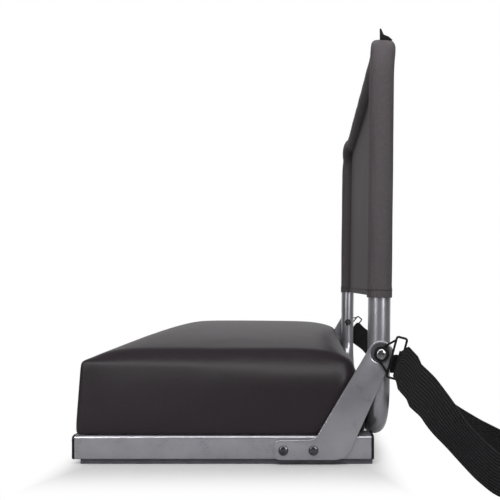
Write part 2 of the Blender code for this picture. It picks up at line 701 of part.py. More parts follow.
def make_back_frame():
    """The tube of the back: an upside-down U, and a stop bar plugged into its lower ends."""
    joint = -BAR_DROP + LOWER_BEND + JOINT_ABOVE_BEND
    over = TUBE_RADIUS
    frame = add_piece("back_frame", sweep(top_arch(joint), TUBE_RADIUS, TUBE_RESOLUTION), SILVER, BACK)
    bore = TUBE_RADIUS - TUBE_WALL
    combine(frame, add_tool("frame_bore", sweep(top_arch(joint - over), bore, TUBE_RESOLUTION), BACK),
            "DIFFERENCE")
    combine(frame, drum("frame_bolt_hole", [BOLT_RADIUS + FIT] * 2, -TUBE_X - 2 * over,
                        TUBE_X + 2 * over, (0, 0), "X", BACK), "DIFFERENCE")

    bar = add_piece("stop_bar", sweep(arch(joint - FIT, -BAR_DROP, LOWER_BEND), TUBE_RADIUS,
                                      TUBE_RESOLUTION), SILVER, BACK)
    for side in (-1, 1):
        spigot = sweep([(side * TUBE_X, 0, joint - FIT - JOINT_ABOVE_BEND / 2),
                        (side * TUBE_X, 0, joint + SPIGOT_LENGTH)], bore - FIT, TUBE_RESOLUTION)
        combine(bar, add_tool(f"spigot_{side}", spigot, BACK), "UNION")
    combine(bar, add_tool("bar_bore", sweep(arch(joint + SPIGOT_LENGTH + over, -BAR_DROP, LOWER_BEND),
                                            bore - FIT - TUBE_WALL, TUBE_RESOLUTION), BACK),
            "DIFFERENCE")


def sleeve_skin(radius):
    """The outside of the cover's sleeve, its section squared outwards at the two top corners."""
    line = [Vector(place) for place in top_arch(COVER_HEM_RISE)]
    body = bmesh.new()
    rings = []
    for index, place in enumerate(line):
        ahead = (line[min(index + 1, len(line) - 1)] - line[max(index - 1, 0)]).normalized()
        out = Vector((-ahead.z, 0, ahead.x)).normalized()
        side = ahead.cross(out)
        off = (math.atan2(abs(ahead.x), abs(ahead.z)) - CORNER_ANGLE) / CORNER_SPREAD
        power = 2 / (2 + (CORNER_SQUARENESS - 2) * max(0, 1 - off ** 2))
        ring = []
        for step in range(SLEEVE_STEPS):
            across, up = math.cos(math.tau * step / SLEEVE_STEPS), math.sin(math.tau * step / SLEEVE_STEPS)
            if step < SLEEVE_STEPS / 2:
                across, up = math.copysign(abs(across) ** power, across), abs(up) ** power
            ring.append(body.verts.new(place + (side * across + out * up) * radius))
        rings.append(ring)
    for first, second in zip(rings, rings[1:]):
        for index in range(SLEEVE_STEPS):
            body.faces.new((first[index - 1], first[index], second[index], second[index - 1]))
    body.faces.new(rings[0])
    body.faces.new(rings[-1])
    bmesh.ops.recalc_face_normals(body, faces=body.faces)
    mesh = bpy.data.meshes.new("back_cover")
    body.to_mesh(mesh)
    body.free()
    return mesh


def make_back_cover():
    """The fabric back: sleeves round the uprights and top bar, a panel and two corner ears."""
    sleeve = TUBE_RADIUS + FIT + SLEEVE_CLOTH
    cover = add_piece("back_cover", sleeve_skin(sleeve), BACK_CLOTH, BACK)
    edge = rounded([(-TUBE_X, COVER_HEM_RISE, 0), (TUBE_X, COVER_HEM_RISE, 0),
                    (TUBE_X, BACK_RISE, TOP_BEND), (-TUBE_X, BACK_RISE, TOP_BEND)], BEND_STEPS)
    panel = prism([edge], PANEL_SETBACK - PANEL_THICKNESS / 2, PANEL_SETBACK + PANEL_THICKNESS / 2, "Y")
    combine(cover, add_tool("cover_panel", panel, BACK), "UNION")
    fold = [(EAR_FOLD[-1][0], TUBE_RADIUS), (EAR_FOLD[0][0], TUBE_RADIUS)]
    fold += [(along, sleeve + up) for along, up in EAR_FOLD]
    back = TOP_BAR_SETBACK * ease(CORNER_ANGLE / math.radians(90))
    for side in (-1, 1):
        ear = prism([fold], -EAR_THICKNESS / 2, EAR_THICKNESS / 2, "X")
        ear.transform(Matrix.Translation((0, 0, TOP_BEND)))
        ear.transform(Matrix.Rotation(side * (math.pi / 2 - CORNER_ANGLE), 4, "Y"))
        ear.transform(Matrix.Translation((side * (TUBE_X - TOP_BEND), back, BACK_RISE - TOP_BEND)))
        combine(cover, add_tool(f"cover_ear_{side}", ear, BACK), "UNION")
    combine(cover, add_tool("cover_bore", sweep(top_arch(COVER_HEM_RISE - sleeve), TUBE_RADIUS + FIT,
                                                TUBE_RESOLUTION), BACK), "DIFFERENCE")


def make_rings(pivots):
    """The wire rings on the pivot bolts and the folded strap ends that they hold."""
    eye = BOLT_RADIUS + FIT + RING_WIRE / 2
    shoulder = (RING_BAR_REACH, RING_BAR_HALF)
    touch = tangent_angle(shoulder, (0, 0), eye, 1)
    corners = [(u, v, 0) for u, v in arc((0, 0), eye, touch, math.tau - touch, BEND_STEPS)]
    corners += [(RING_BAR_REACH, -RING_BAR_HALF, 0), (RING_BAR_REACH, -RING_HALF, RING_BEND),
                (RING_REACH, -RING_HALF, RING_BEND), (RING_REACH, RING_HALF, RING_BEND),
                (RING_BAR_REACH, RING_HALF, RING_BEND), (*shoulder, 0)]
    loop = [(RING_X, u, v) for u, v in rounded(corners, 3)]
    cross = [(RING_X, RING_BAR_REACH, -RING_BAR_HALF), (RING_X, RING_BAR_REACH, RING_BAR_HALF)]
    for side, pivot in pivots.items():
        tilt = Matrix.Rotation(-RING_TILT[side], 4, "X")
        wire = sweep(loop, RING_WIRE / 2, WIRE_RESOLUTION, True)
        wire.transform(tilt)
        bar = sweep(cross, RING_WIRE / 2, WIRE_RESOLUTION)
        bar.transform(tilt)
        ring = add_piece(f"strap_ring_{side}", to_side(wire, side), BLACK_WIRE, pivot)
        combine(ring, add_tool(f"ring_bar_{side}", to_side(bar, side), pivot), "UNION")
        add_piece(f"strap_end_{side}", to_side(strap_end(side), side), WEBBING, pivot)


def to_side(mesh, side):
    """A mesh made for the right-hand side, reflected if it is for the left."""
    if side == "left":
        mesh.transform(Matrix.Scale(-1, 4, (1, 0, 0)))
        mesh.flip_normals()
    return mesh


def strap_end(side):
    """Webbing folded square round a ring's outer bar and sewn flat, running off at the strap's dip."""
    inner = STRAP_WRAP - 2 * STRAP_THICKNESS
    knee = (END_TAPER, inner)
    turn = tangent_angle(knee, (0, 0), STRAP_WRAP, -1)
    outline = arc((0, 0), STRAP_WRAP, math.pi / 2, turn + math.tau, BEND_STEPS)
    outline += [knee, (END_LENGTH, inner), (END_LENGTH, STRAP_WRAP)]
    nose = (END_TAPER - STRAP_THICKNESS / 2, STRAP_EYE)
    turn = tangent_angle(nose, (0, 0), STRAP_EYE, -1)
    hole = arc((0, 0), STRAP_EYE, math.pi / 2, turn + math.tau, BEND_STEPS) + [nose]
    mesh = prism([outline, hole], -STRAP_WIDTH / 2, STRAP_WIDTH / 2, "Z")
    run, bar = strap_run(side), ring_bar(side)
    slope = run.dot(bar) / run.cross(bar).length
    for corner in mesh.vertices:
        corner.co.z += slope * max(corner.co.x, 0)
    across = (run - bar * run.dot(bar)).normalized()
    stand = Matrix((across, Vector((1, 0, 0)), bar)).transposed().to_4x4()
    mesh.transform(stand)
    mesh.transform(Matrix.Translation(ring_hold(side)))
    if stand.determinant() < 0:
        mesh.flip_normals()
    return mesh


def ring_bar(side):
    """The way a ring's outer bar points, upwards."""
    return Vector((0, math.sin(RING_TILT[side]), math.cos(RING_TILT[side])))


def ring_hold(side):
    """The middle of a ring's outer bar, from the pivot axis, as on the right-hand side."""
    tilt = RING_TILT[side]
    return Vector((RING_X, RING_REACH * math.cos(tilt), -RING_REACH * math.sin(tilt)))


def strap_run(side):
    """The way the strap leaves a ring."""
    return Vector((0, math.cos(STRAP_DIP[side]), -math.sin(STRAP_DIP[side])))


def strap_fall(side):
    """The middle of the carry strap from a ring down to the floor, as on the right-hand side."""
    lap = STRAP_WRAP + FIT + STRAP_THICKNESS / 2
    start = PIVOT + ring_hold(side) + strap_run(side) * LAP_START + Vector((lap, 0, 0))
    out, rear = STRAP_LANDING[side]
    return ([start] + [start + Vector(step) for step in STRAP_FALL[side]]
            + [Vector((start.x + out, start.y + rear, STRAP_LIE))])


def strap_route():
    """The middle of the carry strap, from the right-hand ring round behind the chair to the left."""
    far = [Vector((-place.x, place.y, place.z)) for place in strap_fall("left")]
    return strap_fall("right") + [Vector((x, y, STRAP_LIE)) for x, y in STRAP_FLOOR] + far[::-1]


def smooth_points(route, count):
    """Points at even steps along a smooth curve through a route's own points."""
    fine = []
    for index in range(len(route) - 1):
        before = route[max(index - 1, 0)]
        here, there = route[index], route[index + 1]
        after = route[min(index + 2, len(route) - 1)]
        for step in range(SPLINE_STEPS):
            t = step / SPLINE_STEPS
            place = before * (2 * t ** 2 - t - t ** 3) + here * (2 - 5 * t ** 2 + 3 * t ** 3)
            place += there * (t + 4 * t ** 2 - 3 * t ** 3) + after * (t ** 3 - t ** 2)
            fine.append(place / 2)
    fine.append(route[-1])
    lengths = [0.0]
    for first, second in zip(fine, fine[1:]):
        lengths.append(lengths[-1] + (second - first).length)
    points = []
    spot = 0
    for step in range(count):
        goal = lengths[-1] * step / (count - 1)
        while spot < len(fine) - 2 and lengths[spot + 1] < goal:
            spot += 1
        share = (goal - lengths[spot]) / (lengths[spot + 1] - lengths[spot])
        points.append(fine[spot].lerp(fine[spot + 1], share))
    return points


def make_carry_strap():
    """The webbing strap, lapped on its ends outside the rings and standing on edge on the floor."""
    points = smooth_points(strap_route(), STRAP_POINTS)
    for place in points:
        place.z = max(place.z, STRAP_LIE)
    body = bmesh.new()
    rows = []
    for index, place in enumerate(points):
        ahead = points[min(index + 1, len(points) - 1)] - points[max(index - 1, 0)]
        flat = ahead.cross(Vector((0, 0, 1))).normalized()
        upright = flat.cross(ahead).normalized()
        end, side = (points[0], "right") if index < len(points) / 2 else (points[-1], "left")
        skew = min((place - end).length / SKEW_LENGTH, 1)
        wide = ring_bar(side).lerp(upright, skew) * STRAP_WIDTH / 2
        rows.append((body.verts.new(place - wide), body.verts.new(place + wide)))
    for first, second in zip(rows, rows[1:]):
        body.faces.new((first[0], second[0], second[1], first[1]))
    mesh = bpy.data.meshes.new("carry_strap")
    body.to_mesh(mesh)
    body.free()
    strap = add_piece("carry_strap", mesh, WEBBING)
    wall = strap.modifiers.new("webbing", "SOLIDIFY")
    wall.thickness = STRAP_THICKNESS
    wall.offset = 0
    length = sum((second - first).length for first, second in zip(points, points[1:]))
    print(f"carry strap length {length:.3f} m")


def main():
    """Build the chair."""
    pivots = {"right": pivot_empty("ring_pivot_right", PIVOT),
              "left": pivot_empty("ring_pivot_left", PIVOT)}
    make_rails()
    make_side_plates()
    make_fasteners()
    make_seat()
    make_back_frame()
    make_back_cover()
    make_rings(pivots)
    make_carry_strap()


main()
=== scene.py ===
"""Folding stadium chair, dressed and lit.

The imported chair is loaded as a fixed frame. Its faceted pieces are replaced by finished ones in the
same places, every piece gets a procedural finish, and a plain studio and a camera are set round it.
Metres, +Z up. The chair faces -Y, and its right-hand side is at +X.
"""

from __future__ import annotations

import json
import logging
import math
from contextlib import contextmanager
from dataclasses import dataclass
from enum import Enum
from typing import Any, Callable, Iterator, Sequence, Union

import bmesh
import bpy
from mathutils import Matrix, Vector, noise

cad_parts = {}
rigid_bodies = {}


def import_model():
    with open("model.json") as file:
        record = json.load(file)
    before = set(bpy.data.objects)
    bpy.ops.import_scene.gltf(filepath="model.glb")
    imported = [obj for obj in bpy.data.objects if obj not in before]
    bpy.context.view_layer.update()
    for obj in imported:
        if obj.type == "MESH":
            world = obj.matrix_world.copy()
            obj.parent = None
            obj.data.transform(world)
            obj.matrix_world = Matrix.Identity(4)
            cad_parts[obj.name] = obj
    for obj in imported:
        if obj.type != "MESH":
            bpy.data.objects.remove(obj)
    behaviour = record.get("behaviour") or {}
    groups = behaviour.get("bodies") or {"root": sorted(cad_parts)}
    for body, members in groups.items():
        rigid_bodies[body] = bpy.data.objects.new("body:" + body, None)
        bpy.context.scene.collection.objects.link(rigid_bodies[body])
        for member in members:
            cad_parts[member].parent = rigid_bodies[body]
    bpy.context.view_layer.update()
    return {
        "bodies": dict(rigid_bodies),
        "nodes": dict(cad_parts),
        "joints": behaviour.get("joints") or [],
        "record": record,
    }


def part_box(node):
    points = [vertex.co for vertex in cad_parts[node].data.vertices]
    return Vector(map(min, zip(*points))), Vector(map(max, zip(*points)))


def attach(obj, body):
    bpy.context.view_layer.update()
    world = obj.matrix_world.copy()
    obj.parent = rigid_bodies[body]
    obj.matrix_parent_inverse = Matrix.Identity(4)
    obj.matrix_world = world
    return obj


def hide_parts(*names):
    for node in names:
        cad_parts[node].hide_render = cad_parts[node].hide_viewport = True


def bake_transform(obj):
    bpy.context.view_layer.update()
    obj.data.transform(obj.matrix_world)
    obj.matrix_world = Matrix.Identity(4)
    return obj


log = logging.getLogger("stadium_chair")

Piece = bpy.types.Object
Colour = tuple[float, float, float]
Pair = tuple[float, float]
Point = Sequence[float]
Number = Union[float, "Port"]

# Turns a shape that stands along Z so that it stands along X, as a matrix and as angles for an operator
ALONG_X = Matrix(((0, 0, 1, 0), (1, 0, 0, 0), (0, 1, 0, 0), (0, 0, 0, 1)))
TURN_TO_X = (0, math.radians(90), 0)

# Points closer than this are the same, and an edge of a block that is longer along an axis runs along it
SAME_PLACE = 1e-6
SHORTEST_EDGE = 0.001


class Side(Enum):
    """A side of the chair, with the sign of its X."""

    RIGHT = 1
    LEFT = -1

    @property
    def word(self) -> str:
        """The side's word in the names of pieces."""
        return self.name.lower()


class Body(Enum):
    """A rigid body of the chair."""

    BASE = "base"
    BACK = "back"
    RING_RIGHT = "ring_right"
    RING_LEFT = "ring_left"

    @staticmethod
    def ring(side: Side) -> "Body":
        """The body of a side's strap ring."""
        return Body.RING_RIGHT if side is Side.RIGHT else Body.RING_LEFT


# Shader sheets


def operator(operation: str, number_first: bool = False) -> Callable[["Port", Number], "Port"]:
    """A method of Port that adds a Math node for two values.

    Args:
        operation: The node's operation.
        number_first: Whether the other value is the first of the two.

    Returns:
        The method.
    """
    def method(port: "Port", other: Number) -> "Port":
        """Add the node."""
        return port.math(operation, *((other, port) if number_first else (port, other)))

    return method


class Port:
    """An output in a node sheet.

    Arithmetic on it adds Math nodes, and most() gives the larger of two values.
    """

    def __init__(self, sheet: "NodeSheet", socket: bpy.types.NodeSocket) -> None:
        """Wrap a socket.

        Args:
            sheet: The sheet that the socket's node is in.
            socket: The output.
        """
        self.sheet = sheet
        self.socket = socket

    def math(self, operation: str, *values: Number) -> "Port":
        """Add a Math node for an operation on values."""
        return self.sheet.add("ShaderNodeMath", {"operation": operation}, dict(enumerate(values)))

    __add__ = operator("ADD")
    __radd__ = operator("ADD", number_first=True)
    __sub__ = operator("SUBTRACT")
    __rsub__ = operator("SUBTRACT", number_first=True)
    __mul__ = operator("MULTIPLY")
    __rmul__ = operator("MULTIPLY", number_first=True)
    __pow__ = operator("POWER")
    most = operator("MAXIMUM")

    def sine(self) -> "Port":
        """Sine of an angle in radians."""
        return self.math("SINE", self)

    def size(self) -> "Port":
        """The value without its sign."""
        return self.math("ABSOLUTE", self)

    def rise(self, low: float, high: float) -> "Port":
        """A smooth rise from 0 at low to 1 at high.

        Args:
            low: Where the rise starts.
            high: Where it ends.

        Returns:
            The risen value.
        """
        return self.sheet.add("ShaderNodeMapRange", {"interpolation_type": "SMOOTHSTEP"},
                              {"Value": self, "From Min": low, "From Max": high})


class NodeSheet:
    """A node tree, filled node by node."""

    def __init__(self, tree: bpy.types.NodeTree) -> None:
        """Start with an empty sheet.

        Args:
            tree: The tree, whose nodes are removed.
        """
        self.tree = tree
        self.tree.nodes.clear()

    def feed(self, socket: bpy.types.NodeSocket, value: Any) -> None:
        """Link a port to a socket, or set the socket's own value.

        Args:
            socket: The input.
            value: A port, or a plain value.
        """
        if isinstance(value, Port):
            self.tree.links.new(value.socket, socket)
        else:
            socket.default_value = value

    def add(self, kind: str, settings: dict[str, Any] | None = None,
            inputs: dict[Any, Any] | None = None, output: int = 0) -> Port:
        """Add a node.

        Args:
            kind: The node's type.
            settings: Its own settings, set first.
            inputs: Values or ports for its sockets, by name or number.
            output: Which output to return.

        Returns:
            The output.
        """
        node = self.tree.nodes.new(kind)
        for key, value in (settings or {}).items():
            setattr(node, key, value)
        for key, value in (inputs or {}).items():
            self.feed(node.inputs[key], value)
        return Port(self, node.outputs[output])

    def place(self) -> Port:
        """The point on the piece, in the chair's own frame."""
        return self.add("ShaderNodeTexCoord", output=3)

    def cloth_map(self) -> Port:
        """The piece's own UV map."""
        return self.add("ShaderNodeTexCoord", output=2)

    def split(self, vector: Port) -> tuple[Port, Port, Port]:
        """A vector's three numbers.

        Args:
            vector: The vector.

        Returns:
            Its X, Y and Z.
        """
        first = self.add("ShaderNodeSeparateXYZ", inputs={0: vector})
        outputs = first.socket.node.outputs
        return first, Port(self, outputs[1]), Port(self, outputs[2])

    def stretched(self, vector: Port, scale: Point) -> Port:
        """A vector with each of its numbers scaled."""
        return self.add("ShaderNodeMapping", inputs={"Vector": vector, "Scale": tuple(scale)})

    def noise(self, vector: Port, scale: float, detail: float = 2.0) -> Port:
        """Cloudy values between 0 and 1.

        Args:
            vector: Where to read the noise.
            scale: Lumps per metre.
            detail: How many finer layers are added.

        Returns:
            The noise.
        """
        return self.add("ShaderNodeTexNoise", inputs={"Vector": vector, "Scale": scale, "Detail": detail})

    def mix(self, share: Number, first: Any, second: Any) -> Port:
        """A colour between two colours.

        Args:
            share: 0 for the first colour, 1 for the second.
            first: A colour or a port.
            second: A colour or a port.

        Returns:
            The mixed colour.
        """
        first = first if isinstance(first, Port) else (*first, 1.0)
        second = second if isinstance(second, Port) else (*second, 1.0)
        return self.add("ShaderNodeMix", {"data_type": "RGBA"}, {0: share, 6: first, 7: second}, 2)

    def bump(self, height: Port, strength: float, distance: float) -> Port:
        """A normal turned by a height.

        Args:
            height: The height, from 0 to 1.
            strength: How much of the turn is used.
            distance: The depth of the relief, in metres.

        Returns:
            The normal.
        """
        inputs = {"Strength": strength, "Distance": distance, "Height": height}
        return self.add("ShaderNodeBump", inputs=inputs)

    def seen(self, behind: Port) -> Port:
        """Where the background is shown: to the camera, through glass, and to gloss that faces it.

        Args:
            behind: 1 where the background stands behind the chair, 0 elsewhere.

        Returns:
            1 for a ray that shows the background, 0 for one that only brings light.
        """
        camera = self.add("ShaderNodeLightPath")
        rays = camera.socket.node.outputs
        glossy = Port(self, rays["Is Glossy Ray"])
        return camera.most(Port(self, rays["Is Transmission Ray"])).most(glossy * behind)


class SurfaceSheet(NodeSheet):
    """The node tree of one finish, with its surface shader."""

    def __init__(self, name: str) -> None:
        """Start a new material.

        Args:
            name: The material's name.
        """
        self.material = bpy.data.materials.new(name)
        self.material.use_nodes = True
        super().__init__(self.material.node_tree)
        self.surface = self.tree.nodes.new("ShaderNodeBsdfPrincipled")
        self.output = self.tree.nodes.new("ShaderNodeOutputMaterial")
        self.tree.links.new(self.surface.outputs[0], self.output.inputs["Surface"])

    def set(self, **sockets: Any) -> None:
        """Set the surface shader's sockets, with underscores for the spaces in their names."""
        for key, value in sockets.items():
            self.feed(self.surface.inputs[key.replace("_", " ")], value)


@dataclass(frozen=True)
class Finish:
    """What a piece's surface looks like."""

    name: str
    slot: str
    colour: Colour
    roughness: float

    def material(self) -> bpy.types.Material:
        """The finish's material, made on first use.

        Returns:
            The material.
        """
        ready = bpy.data.materials.get(self.name)
        if ready is not None:
            return ready
        sheet = SurfaceSheet(self.name)
        self.paint(sheet)
        return sheet.material

    def shade(self, factor: float) -> Colour:
        """The finish's colour, darker or lighter by a factor."""
        red, green, blue = self.colour
        return red * factor, green * factor, blue * factor

    def paint(self, sheet: SurfaceSheet) -> None:
        """Fill the node sheet.

        Args:
            sheet: The finish's sheet, which has its surface shader only.
        """
        raise NotImplementedError


@dataclass(frozen=True)
class SilverPaint(Finish):
    """Powder coat with a metal flake and a faint orange peel."""

    metallic: float = 0.7
    flake_scale: float = 2400.0
    cloud_scale: float = 38.0
    peel_scale: float = 620.0
    peel_depth: float = 0.00012

    def paint(self, sheet: SurfaceSheet) -> None:
        """Fill the sheet with flake, clouding and peel.

        Args:
            sheet: The finish's sheet.
        """
        place = sheet.place()
        flake = sheet.noise(place, self.flake_scale, 1.0)
        cloud = sheet.noise(place, self.cloud_scale, 4.0)
        peel = sheet.noise(place, self.peel_scale)
        tone = flake * 0.6 + cloud * 0.4
        sheet.set(Base_Color=sheet.mix(tone.rise(0.25, 0.75), self.shade(0.80), self.shade(1.18)),
                  Roughness=self.roughness - 0.06 + cloud * 0.08 + flake * 0.06,
                  Metallic=self.metallic,
                  Normal=sheet.bump(peel * 0.7 + flake * 0.3, 0.25, self.peel_depth))


@dataclass(frozen=True)
class PlatedSteel(Finish):
    """Dark zinc plate, cloudy where it was handled."""

    metallic: float = 0.95
    cloud_scale: float = 260.0
    scratch_scale: float = 3000.0
    scratch_depth: float = 0.00005

    def paint(self, sheet: SurfaceSheet) -> None:
        """Fill the sheet with clouding and fine scratches.

        Args:
            sheet: The finish's sheet.
        """
        place = sheet.place()
        cloud = sheet.noise(place, self.cloud_scale, 5.0)
        scratch = sheet.noise(place, self.scratch_scale, 1.0)
        sheet.set(Base_Color=sheet.mix(cloud.rise(0.3, 0.7), self.shade(0.7), self.shade(1.35)),
                  Roughness=self.roughness - 0.05 + cloud * 0.14,
                  Metallic=self.metallic,
                  Normal=sheet.bump(scratch, 0.12, self.scratch_depth))


@dataclass(frozen=True)
class CoatedWire(Finish):
    """Black coating on wire, glossy with small sags."""

    specular: float = 0.12
    sag_scale: float = 420.0
    sag_depth: float = 0.0001

    def paint(self, sheet: SurfaceSheet) -> None:
        """Fill the sheet with sags and specks.

        Args:
            sheet: The finish's sheet.
        """
        place = sheet.place()
        sag = sheet.noise(place, self.sag_scale, 3.0)
        sheet.set(Base_Color=sheet.mix(sag.rise(0.4, 0.8), self.colour, self.shade(2.2)),
                  Roughness=self.roughness + sag * 0.12,
                  Specular_IOR_Level=self.specular,
                  Normal=sheet.bump(sag, 0.15, self.sag_depth))


@dataclass(frozen=True)
class MouldedPlastic(Finish):
    """Moulded plastic with a spark-eroded grain."""

    specular: float = 0.12
    grain_scale: float = 1500.0
    grain_depth: float = 0.00012
    mark_scale: float = 90.0

    def paint(self, sheet: SurfaceSheet) -> None:
        """Fill the sheet with grain and handling marks.

        Args:
            sheet: The finish's sheet.
        """
        place = sheet.place()
        grain = sheet.noise(place, self.grain_scale)
        marks = sheet.noise(place, self.mark_scale, 4.0)
        sheet.set(Base_Color=sheet.mix(marks.rise(0.35, 0.8), self.colour, self.shade(1.9)),
                  Roughness=self.roughness + marks * 0.15,
                  Specular_IOR_Level=self.specular,
                  Normal=sheet.bump(grain, 0.3, self.grain_depth))


@dataclass(frozen=True)
class FootRubber(Finish):
    """Extruded rubber, dusty, with draw lines along its length."""

    line_scale: float = 1900.0
    line_stretch: Point = (1.0, 0.02, 1.0)
    line_depth: float = 0.00015
    dust_scale: float = 70.0

    def paint(self, sheet: SurfaceSheet) -> None:
        """Fill the sheet with draw lines and dust.

        Args:
            sheet: The finish's sheet.
        """
        place = sheet.place()
        lines = sheet.noise(sheet.stretched(place, self.line_stretch), self.line_scale)
        dust = sheet.noise(place, self.dust_scale, 5.0)
        sheet.set(Base_Color=sheet.mix(dust.rise(0.35, 0.75), self.colour, self.shade(1.6)),
                  Roughness=self.roughness,
                  Normal=sheet.bump(lines, 0.35, self.line_depth))


@dataclass(frozen=True)
class WovenCloth(Finish):
    """Plain-woven polyester, read in the chair's frame so that it needs no map."""

    pitch: float = 0.0008
    sheen: float = 0.03
    specular: float = 0.15
    crease: float = 0.0006
    crease_scale: float = 16.0
    cloud_scale: float = 7.0
    pale: float = 1.35

    def paint(self, sheet: SurfaceSheet) -> None:
        """Fill the sheet with weave, slub and soft unevenness.

        Args:
            sheet: The finish's sheet.
        """
        place = sheet.place()
        turn = math.tau / self.pitch
        across, along, up = (part * turn for part in sheet.split(place))
        waves = (across.sine(), along.sine(), up.sine())
        weave = (waves[0] * waves[1] + waves[1] * waves[2] + waves[2] * waves[0]) * 0.3 + 0.5
        slub = sheet.noise(place, 0.35 / self.pitch, 3.0)
        soft = sheet.noise(place, self.crease_scale, 3.0)
        cloud = sheet.noise(place, self.cloud_scale, 3.0)
        tone = weave * 0.35 + slub * 0.35 + cloud * 0.3
        fine = sheet.bump(weave * 0.6 + slub * 0.4, 0.35, self.pitch * 0.12)
        broad = sheet.add("ShaderNodeBump", inputs={"Strength": 1.0, "Distance": self.crease,
                                                    "Height": soft, "Normal": fine})
        sheet.set(Base_Color=sheet.mix(tone.rise(0.2, 0.8), self.shade(1 / self.pale), self.shade(self.pale)),
                  Roughness=self.roughness - 0.05 + slub * 0.1,
                  Specular_IOR_Level=self.specular,
                  Sheen_Weight=self.sheen,
                  Sheen_Roughness=0.3,
                  Sheen_Tint=(0.85, 0.83, 0.85, 1.0),
                  Normal=broad)


@dataclass(frozen=True)
class RibbedWebbing(Finish):
    """Webbing with ribs along its length, read from the strap's own map in metres."""

    rib_pitch: float = 0.0027
    pick_pitch: float = 0.0013
    pick_slant: float = 0.6
    rib_depth: float = 0.0007
    specular: float = 0.1
    sheen: float = 0.02
    lint_scale: float = 900.0
    cloud_scale: float = 30.0

    def paint(self, sheet: SurfaceSheet) -> None:
        """Fill the sheet with ribs, picks and lint, with painted shade in the ribs' grooves.

        Args:
            sheet: The finish's sheet.
        """
        cloth = sheet.cloth_map()
        across, along, _ = sheet.split(cloth)
        rib = (across * (math.tau / self.rib_pitch)).sine() * 0.5 + 0.5
        slant = across.size() * self.pick_slant + along
        pick = (slant * (math.tau / self.pick_pitch)).sine() * 0.5 + 0.5
        place = sheet.place()
        lint = sheet.noise(place, self.lint_scale, 3.0)
        cloud = sheet.noise(place, self.cloud_scale, 3.0)
        height = rib * 0.7 + pick * rib * 0.3
        # Painted shade: the rib wave darkens the grooves and lightens the crests; pick, lint and cloud are
        # the webbing's own tone.
        tone = rib * 0.45 + pick * 0.15 + lint * 0.2 + cloud * 0.2
        sheet.set(Base_Color=sheet.mix(tone.rise(0.15, 0.9), self.shade(0.4), self.shade(2.1)),
                  Roughness=self.roughness - 0.08 + lint * 0.16,
                  Specular_IOR_Level=self.specular,
                  Sheen_Weight=self.sheen,
                  Sheen_Roughness=0.45,
                  Normal=sheet.bump(height, 0.7, self.rib_depth))


@dataclass(frozen=True)
class Plywood(Finish):
    """The face veneer of a plywood board, its grain along the chair's width."""

    grain_scale: float = 260.0
    figure_scale: float = 34.0
    pore_scale: float = 900.0
    pore_depth: float = 0.0002

    def paint(self, sheet: SurfaceSheet) -> None:
        """Fill the sheet with grain, figure and pores.

        Args:
            sheet: The finish's sheet.
        """
        place = sheet.place()
        grain = sheet.noise(sheet.stretched(place, (0.06, 1.0, 1.0)), self.grain_scale, 4.0)
        figure = sheet.noise(sheet.stretched(place, (0.12, 1.0, 1.0)), self.figure_scale, 3.0)
        pores = sheet.noise(sheet.stretched(place, (0.03, 1.0, 1.0)), self.pore_scale, 1.0)
        tone = grain * 0.5 + figure * 0.5
        veneer = sheet.mix(tone.rise(0.3, 0.7), self.shade(0.72), self.shade(1.2))
        sheet.set(Base_Color=sheet.mix(pores.rise(0.62, 0.75), veneer, self.shade(0.45)),
                  Roughness=self.roughness,
                  Normal=sheet.bump(grain * 0.6 + pores * 0.4, 0.3, self.pore_depth))


@dataclass(frozen=True)
class OpenFoam(Finish):
    """Cut foam with open cells."""

    cell_scale: float = 700.0
    cell_depth: float = 0.0008

    def paint(self, sheet: SurfaceSheet) -> None:
        """Fill the sheet with cells.

        Args:
            sheet: The finish's sheet.
        """
        place = sheet.place()
        cells = sheet.noise(place, self.cell_scale, 3.0)
        sheet.set(Base_Color=sheet.mix(cells.rise(0.3, 0.7), self.shade(0.7), self.shade(1.1)),
                  Roughness=self.roughness,
                  Normal=sheet.bump(cells, 0.6, self.cell_depth))


SILVER = SilverPaint("silver_powder_coat", "silver_paint", (0.30, 0.295, 0.32), 0.28)
ZINC = PlatedSteel("dark_zinc_plate", "dark_zinc", (0.07, 0.07, 0.075), 0.22)
BRIGHT_ZINC = PlatedSteel("bright_zinc_plate", "dark_zinc", (0.20, 0.20, 0.205), 0.18)
WIRE = CoatedWire("black_coated_wire", "black_wire", (0.004, 0.004, 0.0045), 0.28)
PLASTIC = MouldedPlastic("black_moulded_plastic", "black_plastic", (0.006, 0.006, 0.0065), 0.42)
RUBBER = FootRubber("foot_strip_rubber", "foot_rubber", (0.045, 0.043, 0.055), 0.75)
SEAT_CLOTH = WovenCloth("seat_polyester", "seat_cloth", (0.0158, 0.0117, 0.0143), 0.42, sheen=0.0,
                        specular=0.19)
BACK_CLOTH = WovenCloth("back_polyester", "back_cloth", (0.077, 0.0675, 0.0725), 0.72, pitch=0.0009,
                        crease=0.0008, crease_scale=26.0)
THREAD = WovenCloth("sewing_thread", "back_cloth", (0.035, 0.033, 0.036), 0.6, pitch=0.0005)
# Near-black cloth for the corner ears: painted shade for the shadow under their folds.
EAR_SHADE_CLOTH = WovenCloth("ear_cloth_painted_shade", "back_cloth", (0.012, 0.011, 0.012), 0.7, pitch=0.0006)
WEBBING = RibbedWebbing("ribbed_webbing", "webbing", (0.0105, 0.0096, 0.0105), 0.72)
BOARD_WOOD = Plywood("plywood_veneer", "plywood", (0.50, 0.36, 0.22), 0.7)
FOAM = OpenFoam("cut_foam", "foam", (0.62, 0.60, 0.52), 0.95)


# Modelling


